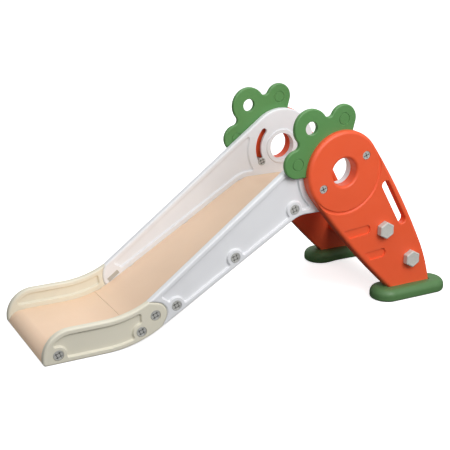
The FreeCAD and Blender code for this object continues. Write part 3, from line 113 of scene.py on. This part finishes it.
def spread(tree, value, low, high, out_low, out_high):
    """Map a value from one range to another, clamped; the output range may be linked."""
    node = tree.nodes.new("ShaderNodeMapRange")
    tree.links.new(value, node.inputs["Value"])
    for label, limit in (("From Min", low), ("From Max", high), ("To Min", out_low), ("To Max", out_high)):
        if isinstance(limit, (int, float)):
            node.inputs[label].default_value = limit
        else:
            tree.links.new(limit, node.inputs[label])
    return node.outputs["Result"]


print("node helpers: add_node, math_node, new_group, noise, spread")


# %% Group: moulded skin
DRIFT_SCALE = 5.0    # colour drifts over about a hand's breadth
RUB_SCALE = 22.0     # rubbed patches of a few centimetres
WAVE_SCALE = 18.0    # slow waves of the wall
WAVE_SHARE = 3.0     # how much taller the waves are than the peel
PEEL_DEPTH = 0.0006  # metres


def build_moulded_skin():
    """Orange peel, slow colour drift and rubbed patches."""
    group, start, end = new_group(
        "Moulded skin",
        {"Peel Scale": 700.0, "Peel Height": 0.08, "Drift": 0.04, "Roughness": 0.35, "Rub": 0.12},
        {"Shade": "NodeSocketFloat", "Roughness": "NodeSocketFloat", "Normal": "NodeSocketVector"},
    )
    place = group.nodes.new("ShaderNodeTexCoord").outputs["Object"]
    slow = noise(group, place, DRIFT_SCALE, detail=3.0)
    drift_low = math_node(group, "SUBTRACT", 1.0, start.outputs["Drift"])
    drift_high = math_node(group, "ADD", 1.0, start.outputs["Drift"])
    shade = spread(group, slow, 0.3, 0.7, drift_low, drift_high)
    group.links.new(shade, end.inputs["Shade"])

    patches = noise(group, place, RUB_SCALE, detail=6.0, roughness=0.65)
    rub_low = math_node(group, "MULTIPLY", start.outputs["Rub"], -0.5)
    rub = spread(group, patches, 0.35, 0.65, rub_low, start.outputs["Rub"])
    rough = math_node(group, "ADD", start.outputs["Roughness"], rub, clamp=True)
    group.links.new(rough, end.inputs["Roughness"])

    peel = noise(group, place, start.outputs["Peel Scale"], detail=2.0)
    waves = noise(group, place, WAVE_SCALE, detail=1.0)
    relief = math_node(group, "ADD", peel, math_node(group, "MULTIPLY", waves, WAVE_SHARE))
    bump = add_node(group, "ShaderNodeBump", "peel")
    bump.inputs["Distance"].default_value = PEEL_DEPTH
    group.links.new(start.outputs["Peel Height"], bump.inputs["Strength"])
    group.links.new(relief, bump.inputs["Height"])
    group.links.new(bump.outputs["Normal"], end.inputs["Normal"])
    return group


moulded_skin = build_moulded_skin()
print("group:", moulded_skin.name)

# %% [markdown]
# Edges that stand out get polished and pick up scratches first. The Bevel node finds them: where the softened
# normal leans away from the true one, there is an edge. The mask feeds a slightly lighter, shinier tone.


# %% Group: worn edges
EDGE_LEAN = (0.01, 0.12)  # how far the normals part where an edge begins, and where it is full


def build_worn_edges():
    """Mask that is 1 along convex or concave edges and 0 on the flats."""
    group, start, end = new_group(
        "Worn edges", {"Width": 0.003, "Breakup": 60.0}, {"Mask": "NodeSocketFloat"}
    )
    bevel = add_node(group, "ShaderNodeBevel", "edge finder", samples=4)
    group.links.new(start.outputs["Width"], bevel.inputs["Radius"])
    geometry = group.nodes.new("ShaderNodeNewGeometry")
    lean = group.nodes.new("ShaderNodeVectorMath")
    lean.operation = "DOT_PRODUCT"
    group.links.new(bevel.outputs["Normal"], lean.inputs[0])
    group.links.new(geometry.outputs["Normal"], lean.inputs[1])
    edge = math_node(group, "SUBTRACT", 1.0, lean.outputs["Value"])
    edge = spread(group, edge, *EDGE_LEAN, 0.0, 1.0)
    place = group.nodes.new("ShaderNodeTexCoord").outputs["Object"]
    broken = spread(group, noise(group, place, start.outputs["Breakup"], detail=4.0), 0.3, 0.6, 0.35, 1.0)
    group.links.new(math_node(group, "MULTIPLY", edge, broken), end.inputs["Mask"])
    return group


worn_edges = build_worn_edges()
print("group:", worn_edges.name)

# %% [markdown]
# A sliding face gets fine scratches that run the way children slide. Noise squeezed hard along one axis gives
# long streaks, and a threshold keeps only a few of them.


# %% Group: slide scratches
STREAK_SCALE = (3.0, 260.0, 3.0)  # long along X, hair-thin across


def build_slide_scratches():
    """Long fine streaks along X."""
    group, start, end = new_group("Slide scratches", {"Amount": 0.3}, {"Mask": "NodeSocketFloat"})
    place = group.nodes.new("ShaderNodeTexCoord").outputs["Object"]
    squeeze = add_node(group, "ShaderNodeMapping", "along the chute")
    squeeze.inputs["Scale"].default_value = STREAK_SCALE
    group.links.new(place, squeeze.inputs["Vector"])
    streak = spread(group, noise(group, squeeze.outputs["Vector"], 1.0, detail=3.0), 0.62, 0.72, 0.0, 1.0)
    patch = spread(group, noise(group, place, 9.0, detail=2.0), 0.45, 0.6, 0.0, 1.0)
    mask = math_node(group, "MULTIPLY", math_node(group, "MULTIPLY", streak, patch), start.outputs["Amount"])
    group.links.new(mask, end.inputs["Mask"])
    return group


slide_scratches = build_slide_scratches()
print("group:", slide_scratches.name)

# %% [markdown]
# ## Finishes
#
# Each plastic is one Principled material that reads the groups above. Colour is written as the sRGB value of
# the moulding under even light and turned into the linear value Blender works in.


# %% Colour and material helpers
def srgb(text):
    """Linear colour from an sRGB hex value."""
    channels = [int(text[index:index + 2], 16) / 255 for index in (0, 2, 4)]
    linear = [c / 12.92 if c <= 0.04045 else ((c + 0.055) / 1.055) ** 2.4 for c in channels]
    return (*linear, 1.0)


def use_group(tree, group, **values):
    """Place a group in a material and set its named inputs."""
    node = tree.nodes.new("ShaderNodeGroup")
    node.node_tree = group
    node.label = group.name
    for name, value in values.items():
        node.inputs[name.replace("_", " ")].default_value = value
    return node


def mix_colour(tree, factor, first, second, blend="MIX"):
    """Colour mix whose inputs are links, colours or plain numbers."""
    node = tree.nodes.new("ShaderNodeMix")
    node.data_type = "RGBA"
    node.blend_type = blend
    for socket, value in ((node.inputs["Factor"], factor), (node.inputs[6], first), (node.inputs[7], second)):
        if isinstance(value, (int, float, tuple)):
            socket.default_value = value
        else:
            tree.links.new(value, socket)
    return node.outputs[2]


DRIFT = 0.03          # how far the colour drifts
EDGE_TINT = 0.45      # how far a worn edge goes over to its own colour
EDGE_POLISH = 0.06    # how much smoother a worn edge is
SCRATCH_ROUGH = 0.5   # how much rougher a scratch is
LIGHT_REACH = 0.004   # metres that light travels inside the wall


def plastic(name, colour, edge_colour, roughness, rub=0.1, peel=0.08, subsurface=0.0, scratches=0.0,
            subsurface_tint=(1.0, 0.6, 0.4)):
    """Moulded plastic with orange peel, drift, worn edges and, on request, sliding scratches."""
    material = bpy.data.materials.new(name)
    material.use_nodes = True
    tree = material.node_tree
    shader = tree.nodes["Principled BSDF"]
    skin = use_group(tree, moulded_skin, Roughness=roughness, Drift=DRIFT, Rub=rub, Peel_Height=peel)
    edges = use_group(tree, worn_edges)
    base = mix_colour(tree, 1.0, srgb(colour), skin.outputs["Shade"], "MULTIPLY")
    edge_part = math_node(tree, "MULTIPLY", edges.outputs["Mask"], EDGE_TINT)
    base = mix_colour(tree, edge_part, base, srgb(edge_colour))
    polish = math_node(tree, "MULTIPLY", edges.outputs["Mask"], EDGE_POLISH)
    rough = math_node(tree, "SUBTRACT", skin.outputs["Roughness"], polish, clamp=True)
    if scratches:
        streaks = use_group(tree, slide_scratches, Amount=scratches)
        base = mix_colour(tree, streaks.outputs["Mask"], base, srgb(edge_colour))
        torn = math_node(tree, "MULTIPLY", streaks.outputs["Mask"], SCRATCH_ROUGH)
        rough = math_node(tree, "ADD", rough, torn, clamp=True)
    tree.links.new(base, shader.inputs["Base Color"])
    tree.links.new(rough, shader.inputs["Roughness"])
    tree.links.new(skin.outputs["Normal"], shader.inputs["Normal"])
    shader.inputs["Subsurface Weight"].default_value = subsurface
    shader.inputs["Subsurface Radius"].default_value = subsurface_tint
    shader.inputs["Subsurface Scale"].default_value = LIGHT_REACH
    return material


def paint(names, material):
    """Give the measured parts their finish."""
    for name in names:
        mesh = nodes[name].data
        mesh.materials.clear()
        mesh.materials.append(material)


def both(*stems):
    """Names of a part on the left and on the right."""
    return [f"{stem}_{side}" for stem in stems for side, _ in SIDES]


print("mid grey in linear light:", round(srgb("808080")[0], 3))

# %% [markdown]
# The chute, the rails, the legs and the green parts each have their own colour and feel. The chute is rougher
# than the legs because it is slid on, and the walls let a little light in, as thin plastic does.

# %% Plastics of the big mouldings
FINISHES = {
    "chute_peach": plastic("chute_peach", "F0D2B6", "F6E0C8", roughness=0.46, scratches=0.10, subsurface=0.06),
    "rail_cream": plastic("rail_cream", "E6E1CF", "F4F0E2", roughness=0.44, subsurface=0.06,
                          subsurface_tint=(1.0, 0.9, 0.7)),
    "rail_white": plastic("rail_white", "ECEDF0", "F7F8FA", roughness=0.42, subsurface=0.06,
                          subsurface_tint=(0.9, 0.9, 1.0)),
    "leg_orange": plastic("leg_orange", "F36036", "FF8A60", roughness=0.42, subsurface=0.05,
                          subsurface_tint=(1.0, 0.35, 0.15)),
    "step_orange": plastic("step_orange", "F36036", "FF8A60", roughness=0.45, rub=0.16, peel=0.12),
    "leaf_green": plastic("leaf_green", "5C9153", "7DB070", roughness=0.40, subsurface=0.04,
                          subsurface_tint=(0.5, 1.0, 0.4)),
    "foot_green": plastic("foot_green", "567F4D", "77A56A", roughness=0.46, rub=0.14, peel=0.12),
}
paint(["chute_lower", "chute_upper"], FINISHES["chute_peach"])
paint(both("rail_lower"), FINISHES["rail_cream"])
paint(both("rail_upper"), FINISHES["rail_white"])
paint(both("carrot"), FINISHES["leg_orange"])
paint(["step_upper", "step_lower"], FINISHES["step_orange"])
paint(both("leaf"), FINISHES["leaf_green"])
paint(both("foot"), FINISHES["foot_green"])
print("finishes:", sorted(FINISHES))

# %% [markdown]
# Screw heads on these slides are zinc-coated or grey nylon. Zinc is dull and blotchy, so its colour and its
# roughness both follow a small cell pattern, like the spangle of a coated sheet.


# %% Metal and grey nylon
SPANGLE_SCALE = 900.0  # cells about a millimetre across
BLOTCH_SCALE = 120.0
SPANGLE_ROUGH = 0.2    # how much rougher a light cell is than a dark one


def spangled(name, dark, light, metallic, roughness):
    """Dull coated metal or filled nylon with a fine spangle."""
    material = bpy.data.materials.new(name)
    material.use_nodes = True
    tree = material.node_tree
    shader = tree.nodes["Principled BSDF"]
    place = tree.nodes.new("ShaderNodeTexCoord").outputs["Object"]
    cells = tree.nodes.new("ShaderNodeTexVoronoi")
    cells.inputs["Scale"].default_value = SPANGLE_SCALE
    tree.links.new(place, cells.inputs["Vector"])
    blotch = noise(tree, place, BLOTCH_SCALE, detail=4.0)
    spangle = math_node(tree, "ADD", cells.outputs["Distance"], blotch)
    blend = math_node(tree, "MULTIPLY", spangle, 0.7, clamp=True)
    edges = use_group(tree, worn_edges, Width=0.0009, Breakup=400.0)
    base = mix_colour(tree, blend, srgb(dark), srgb(light))
    base = mix_colour(tree, math_node(tree, "MULTIPLY", edges.outputs["Mask"], 0.5), base, srgb(light))
    tree.links.new(base, shader.inputs["Base Color"])
    rough = math_node(tree, "ADD", math_node(tree, "MULTIPLY", blend, SPANGLE_ROUGH), roughness)
    tree.links.new(rough, shader.inputs["Roughness"])
    skin = use_group(tree, moulded_skin, Peel_Scale=2500.0, Peel_Height=0.15)
    tree.links.new(skin.outputs["Normal"], shader.inputs["Normal"])
    shader.inputs["Metallic"].default_value = metallic
    return material


screw_zinc = spangled("screw_zinc", "A8A8A4", "C8C8C4", 0.12, 0.40)
# screw_shadow is painted shade: near black, for the walls and floors of the screw slots.
screw_shadow = spangled("screw_slot_painted_shade", "2A2A26", "3A3A35", 0.1, 0.6)
bolt_nylon = spangled("bolt_nylon", "B9B8B0", "CFCEC8", 0.0, 0.38)
plate_nylon = spangled("plate_nylon", "B0ABA2", "C3BFB6", 0.0, 0.5)
print("metals:", screw_zinc.name, screw_shadow.name, bolt_nylon.name, plate_nylon.name)

# %% [markdown]
# ## Where the fasteners sit
#
# One part holds all the equal screws of a side. Walking over connected faces splits it into its separate
# screws, and the box of each gives its place, its size and the side its head faces.


# %% Find the separate solids of a part
def solids_of(name):
    """(low, high) box of every separate solid in a measured part."""
    bm = bmesh.new()
    bm.from_mesh(nodes[name].data)
    bmesh.ops.remove_doubles(bm, verts=bm.verts, dist=1e-6)
    waiting = set(bm.verts)
    boxes = []
    while waiting:
        group = [waiting.pop()]
        for vert in group:
            for edge in vert.link_edges:
                other = edge.other_vert(vert)
                if other in waiting:
                    waiting.remove(other)
                    group.append(other)
        low = Vector([min(vert.co[axis] for vert in group) for axis in range(3)])
        high = Vector([max(vert.co[axis] for vert in group) for axis in range(3)])
        boxes.append((low, high))
    bm.free()
    return boxes


print("left chute screws:", len(solids_of("chute_screws_left")))

# %% [markdown]
# ## Making and placing a fastener
#
# A screw is easiest to model upright at the origin, with its head looking up. One matrix then lays it over so
# that it faces away from the slide and carries it to its place. The place ends up in the mesh, and the object
# stays at the origin as the measured parts do. Equal screws of a side become one object, so they share a name.


# %% Lay over, join and finish
def facing(side, centre, turn=0.0):
    """Matrix that takes +Z to the outside of one side of the slide, at a centre."""
    upright = Matrix.Rotation(math.radians(turn), 4, "Z")
    outwards = Matrix.Rotation(math.radians(90 if side < 0 else -90), 4, "X")
    return Matrix.Translation(centre) @ outwards @ upright


def gather(total, part, matrix):
    """Add a piece made upright to a joined bmesh, in its place."""
    bmesh.ops.transform(part, matrix=matrix, verts=part.verts)
    carrier = bpy.data.meshes.new("carrier")
    part.to_mesh(carrier)
    part.free()
    total.from_mesh(carrier)
    bpy.data.meshes.remove(carrier)


def finished(name, bm, materials, body, node):
    """Make the object, ride it on its body and hide the measured part it stands for."""
    bmesh.ops.remove_doubles(bm, verts=bm.verts, dist=1e-6)
    bmesh.ops.recalc_face_normals(bm, faces=bm.faces)
    mesh = bpy.data.meshes.new(name)
    bm.to_mesh(mesh)
    bm.free()
    for material in materials:
        mesh.materials.append(material)
    piece = bpy.data.objects.new(name, mesh)
    bpy.context.scene.collection.objects.link(piece)
    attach(piece, body)
    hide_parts(node)
    print(f"{name}: {len(mesh.polygons)} faces")
    return piece


print("outwards on the left:", [round(value) for value in facing(-1, (0, 0, 0)).col[2].xyz])

# %% [markdown]
# ## Screw heads
#
# The big heads along the rails are low discs with a soft rim and a lattice of slots, so a wide plastic key can
# turn them. A texture could draw the slots, but they catch real shadow, so they are cut. The disc comes
# first: a short cylinder whose rim is bevelled, and whose face is drawn in and sunk to leave a raised border.


# %% Disc and shank
HEAD_THICK = 0.004
RIM_ROUND = 0.35   # bevel of the rim, as a share of the thickness
BORDER = 0.10      # flat of the raised border, as a share of the radius
BORDER_SLOPE = 0.04
BORDER_DROP = 0.4  # how far the face sinks inside it, as a share of the slots' depth


def flat_tops(bm, height, reach):
    """Faces that look up, at or above a height and inside a radius."""
    return [face for face in bm.faces if face.normal.z > 0.99 and face.calc_center_median().z > height
            and max(vert.co.xy.length for vert in face.verts) < reach]


def low_disc(radius, thick, deep):
    """Disc with a soft rim and a face sunk a little inside it; also the middle face."""
    bm = bmesh.new()
    bmesh.ops.create_cone(bm, cap_ends=True, segments=56, radius1=radius, radius2=radius, depth=thick,
                          matrix=Matrix.Translation((0, 0, thick / 2)))
    top = flat_tops(bm, thick / 2, radius * 1.01)[0]
    bmesh.ops.bevel(bm, geom=list(top.edges), offset=thick * RIM_ROUND, segments=4, profile=0.5,
                    affect="EDGES", material=-1)
    face = max(flat_tops(bm, thick * 0.9, radius), key=lambda item: item.calc_area())
    bmesh.ops.inset_region(bm, faces=[face], thickness=radius * BORDER, depth=0.0)
    bmesh.ops.inset_region(bm, faces=[face], thickness=radius * BORDER_SLOPE, depth=-deep * BORDER_DROP)
    return bm, face


def add_shank(bm, radius, long):
    """Add a slightly tapered shank below z = 0."""
    bmesh.ops.create_cone(bm, cap_ends=True, segments=24, radius1=radius * 0.8, radius2=radius, depth=long,
                          matrix=Matrix.Translation((0, 0, -long / 2)))
    return bm


print("head thickness:", HEAD_THICK * 1000, "mm")

# %% [markdown]
# The flat face is then split by planes along both slot directions, and the faces that fall inside a slot are
# pushed down. Walls and floors of the slots take the second material, a near-black one that paints the shade
# inside the slots.


# %% Lattice of slots
LATTICE = (-0.36, 0.36)  # where the slots run, as shares of the radius
SLOT_HALF = 0.055        # half a slot's width, as a share of the radius
SLOT_DEEP = 0.35         # depth of a slot, as a share of the head's thickness


def in_slot(distance, slots, half):
    """Whether a distance from the middle falls inside one of the slots."""
    return any(abs(distance - slot) < half for slot in slots)


def lattice_head(radius, thick, slots, half, deep, shank_r, shank_long):
    """Low disc with a rim and crossing slots; its underside is at z = 0 and its face at z = thick."""
    bm, face = low_disc(radius, thick, deep)
    field = max(vert.co.xy.length for vert in face.verts) * 1.001
    for direction in (Vector((1, 0, 0)), Vector((0, 1, 0))):
        for slot in slots:
            for edge_at in (slot - half, slot + half):
                tops = flat_tops(bm, thick * 0.5, field)
                geom = list({item for top in tops for item in (*top.verts, *top.edges, top)})
                bmesh.ops.bisect_plane(bm, geom=geom, plane_co=direction * edge_at, plane_no=direction,
                                       dist=1e-7)
    sunk = [top for top in flat_tops(bm, thick * 0.5, field)
            if any(in_slot(place, slots, half) for place in top.calc_center_median().xy)]
    walls_before = set(bm.faces)
    pushed = bmesh.ops.extrude_face_region(bm, geom=sunk)
    floor = [item for item in pushed["geom"] if isinstance(item, bmesh.types.BMVert)]
    bmesh.ops.translate(bm, verts=floor, vec=(0, 0, -deep))
    bmesh.ops.delete(bm, geom=[item for item in sunk if item.is_valid], context="FACES")
    # slot walls and floors take material 1, the painted shade of the slots
    for item in bm.faces:
        if item not in walls_before:
            item.material_index = 1
    return add_shank(bm, shank_r, shank_long)


print("slots:", LATTICE, "of the radius,", round(HEAD_THICK * SLOT_DEEP * 1000, 1), "mm deep")

# %% [markdown]
# The other fasteners are the same head with other numbers. The guide screws beside the hub have a plain cross
# of one wide slot each way. The guide nuts show on the inside of the rail, so they face inwards, and their
# thick collar fills the arc slot.


# %% All the screws and guide nuts
SLOT_TURN = 20.0  # degrees that the lattice is turned, as a screw rarely stops upright


def build_screws(name, body, slots=LATTICE, half=SLOT_HALF, shank=0.3, inward=False):
    """A slotted head and its shank for every solid of a measured part; slot sizes are shares of the radius."""
    side = -1 if name.endswith("left") != inward else 1
    bm = bmesh.new()
    for low, high in solids_of(name):
        radius = (high.x - low.x) / 2
        centre = (low + high) / 2
        face_y = low.y if side < 0 else high.y
        centre.y = face_y - side * HEAD_THICK
        long = (high.y - low.y) - HEAD_THICK
        head = lattice_head(radius, HEAD_THICK, [slot * radius for slot in slots], half * radius,
                            HEAD_THICK * SLOT_DEEP, radius * shank, long)
        gather(bm, head, facing(side, centre, SLOT_TURN))
    return finished(f"{name}_heads", bm, [screw_zinc, screw_shadow], body, name)


for side_name, _ in SIDES:
    build_screws(f"chute_screws_{side_name}", "slide")
    build_screws(f"knuckle_screw_{side_name}", "slide")
    build_screws(f"guide_screws_{side_name}", "legs", slots=(0.0,), half=0.10)
    build_screws(f"guide_nuts_{side_name}", "legs", half=0.07, shank=0.75, inward=True)

# %% [markdown]
# ## Step bolts
#
# The steps hang on thick bolts with large hexagon caps. A cap is a hexagon with chamfered corners and a flat
# face, so a six-sided cone is extruded, its top ring drawn in for the chamfer, and all edges bevelled a little.


# %% Hexagon caps
BOLT_CAP_THICK = 0.020
BOLT_SHANK_R = 0.011
CAP_CHAMFER = 0.12   # height of the chamfer, as a share of the thickness
CAP_DRAWN_IN = 0.88  # size of the cap's face beside the size of its foot
CAP_ROUND = 0.07     # bevel of all its edges, as a share of the thickness


def hexagon_cap(corner_r, thick, shank_r, shank_long):
    """Hexagon cap with a chamfered face and a round shank; its underside is at z = 0."""
    bm = bmesh.new()
    body_thick = thick * (1 - CAP_CHAMFER)
    bmesh.ops.create_cone(bm, cap_ends=True, segments=6, radius1=corner_r, radius2=corner_r,
                          depth=body_thick, matrix=Matrix.Translation((0, 0, body_thick / 2)))
    top = flat_tops(bm, thick / 2, corner_r * 1.01)[0]
    raised = bmesh.ops.extrude_face_region(bm, geom=[top])
    raised_verts = [item for item in raised["geom"] if isinstance(item, bmesh.types.BMVert)]
    bmesh.ops.translate(bm, verts=raised_verts, vec=(0, 0, thick * CAP_CHAMFER))
    bmesh.ops.scale(bm, verts=raised_verts, vec=(CAP_DRAWN_IN, CAP_DRAWN_IN, 1.0))
    bmesh.ops.delete(bm, geom=[top], context="FACES")
    bmesh.ops.recalc_face_normals(bm, faces=bm.faces)
    edges = [edge for edge in bm.edges if edge.calc_face_angle(0) > 0.2]
    bmesh.ops.bevel(bm, geom=edges, offset=thick * CAP_ROUND, segments=3, profile=0.5, affect="EDGES",
                    material=-1)
    face = max(flat_tops(bm, thick * 0.9, corner_r), key=lambda item: item.calc_area())
    bmesh.ops.inset_region(bm, faces=[face], thickness=corner_r * 0.05, depth=0.0)
    bmesh.ops.inset_region(bm, faces=[face], thickness=corner_r * 0.03, depth=-thick * 0.03)
    bmesh.ops.create_cone(bm, cap_ends=True, segments=32, radius1=shank_r, radius2=shank_r,
                          depth=shank_long, matrix=Matrix.Translation((0, 0, -shank_long / 2)))
    return bm


for side_name, side in SIDES:
    name = f"step_bolts_{side_name}"
    bm = bmesh.new()
    for low, high in solids_of(name):
        centre = (low + high) / 2
        face_y = low.y if side < 0 else high.y
        centre.y = face_y - side * BOLT_CAP_THICK
        corner_r = (high.z - low.z) / 2
        cap = hexagon_cap(corner_r, BOLT_CAP_THICK, BOLT_SHANK_R, high.y - low.y - BOLT_CAP_THICK)
        gather(bm, cap, facing(side, centre))
    finished(f"{name}_caps", bm, [bolt_nylon], "legs", name)

# %% [markdown]
# ## Small parts that stay as measured
#
# The nut plates and the screws under the feet and inside the legs are plain on the real slide too, so their
# measured shapes are kept and only painted: moulded grey nylon for the plates, coated steel for the screws.

# %% Finishes of the small parts
paint(both("nut_plate"), plate_nylon)
paint(both("leaf_screws", "foot_screws"), screw_zinc)
print("kept parts painted")

# %% [markdown]
# ## Studio
#
# The slide stands in a white room. A really white floor would throw so much light up that the inside of the
# legs turned pale. So the floor is white to the eye and grey to bounced light, as if the slide stood on a small
# dark mat. The Light Path node tells the two apart, and a little emission keeps the eye's floor free of grey.


# %% Floor
FLOOR_SIZE = 14.0
FLOOR_DROP = 0.0005    # the floor lies just under the feet
FLOOR_EMISSION = 0.7


def add_floor():
    """White floor that gives back little light."""
    bm = bmesh.new()
    bmesh.ops.create_grid(bm, x_segments=8, y_segments=8, size=FLOOR_SIZE)
    mesh = bpy.data.meshes.new("studio_floor")
    bm.to_mesh(mesh)
    bm.free()
    floor = bpy.data.objects.new("studio_floor", mesh)
    floor.location.z = -FLOOR_DROP
    bpy.context.scene.collection.objects.link(floor)
    material = bpy.data.materials.new("studio_pale")
    material.use_nodes = True
    tree = material.node_tree
    shader = tree.nodes["Principled BSDF"]
    place = tree.nodes.new("ShaderNodeTexCoord").outputs["Object"]
    tone = spread(tree, noise(tree, place, 3.0, detail=3.0), 0.3, 0.7, 0.985, 1.0)
    seen = tree.nodes.new("ShaderNodeLightPath").outputs["Is Camera Ray"]
    base = mix_colour(tree, seen, srgb("585858"), srgb("FFFFFF"))
    tree.links.new(mix_colour(tree, 1.0, base, tone, "MULTIPLY"), shader.inputs["Base Color"])
    tree.links.new(math_node(tree, "MULTIPLY", seen, FLOOR_EMISSION), shader.inputs["Emission Strength"])
    shader.inputs["Emission Color"].default_value = (1.0, 1.0, 1.0, 1.0)
    shader.inputs["Roughness"].default_value = 0.9
    shader.inputs["Specular IOR Level"].default_value = 0.1
    mesh.materials.append(material)
    return floor


print("floor:", add_floor().name)

# %% [markdown]
# Four wide soft lights, each a square panel, keep the shadows pale and their edges soft. The key stands at the
# front left above the exit, a second panel hangs overhead, the strongest one lights the near side, and a weak
# one behind draws the far edges. The sky gives even light all round, and is pure white only to the eye.


# %% Lights and sky
def add_area(name, location, target, size, power):
    """Square soft light of a size in metres and a power in watts, turned to a target."""
    light = bpy.data.lights.new(name, "AREA")
    light.shape = "SQUARE"
    light.size = size
    light.energy = power
    lamp = bpy.data.objects.new(name, light)
    lamp.location = location
    lamp.rotation_euler = (Vector(target) - Vector(location)).to_track_quat("-Z", "Y").to_euler()
    bpy.context.scene.collection.objects.link(lamp)
    return lamp


add_area("key_softbox", (-1.6, -2.2, 2.6), (0.0, 0.0, 0.3), 2.2, 22)
add_area("top_softbox", (0.2, 0.2, 3.0), (0.0, 0.0, 0.2), 3.0, 29)
add_area("side_softbox", (0.6, -2.4, 1.9), (0.15, -0.2, 0.4), 1.6, 49)
add_area("rear_softbox", (1.4, 2.6, 1.8), (0.0, 0.0, 0.3), 2.0, 8)

SKY_LIGHT = 0.40  # strength that lights the slide
SKY_SEEN = 1.0    # strength that the eye sees
world = bpy.data.worlds.new("studio_sky")
bpy.context.scene.world = world
world.use_nodes = True
sky = world.node_tree.nodes["Background"]
sky.inputs["Color"].default_value = (1.0, 1.0, 1.0, 1.0)
to_eye = world.node_tree.nodes.new("ShaderNodeLightPath").outputs["Is Camera Ray"]
extra = math_node(world.node_tree, "MULTIPLY", to_eye, SKY_SEEN - SKY_LIGHT)
world.node_tree.links.new(math_node(world.node_tree, "ADD", extra, SKY_LIGHT), sky.inputs["Strength"])
print("lights:", [light.name for light in bpy.data.lights])

# %% [markdown]
# A long lens from a little above keeps the rails nearly parallel, so the slide reads as the compact product it
# is. The Standard view keeps the plastics as bright and clean as their colour values say.

# %% Camera
CAMERA_PLACE = (-1.3613, -2.5591, 1.2113)
CAMERA_DOWN = 18.3976   # degrees below the horizon
CAMERA_TURN = -27.6525  # degrees about the vertical
CAMERA_LENS = 81.205    # millimetres, on a sensor 36 mm wide

camera_data = bpy.data.cameras.new("studio_camera")
camera_data.sensor_width = 36.0
camera_data.lens = CAMERA_LENS
camera_data.clip_end = 60.0
camera = bpy.data.objects.new("studio_camera", camera_data)
camera.location = CAMERA_PLACE
camera.rotation_euler = (math.radians(90 - CAMERA_DOWN), 0.0, math.radians(CAMERA_TURN))
bpy.context.scene.collection.objects.link(camera)
bpy.context.scene.camera = camera
bpy.context.scene.view_settings.view_transform = "Standard"
bpy.context.scene.view_settings.look = "None"
print("camera:", [round(value, 3) for value in camera.location])
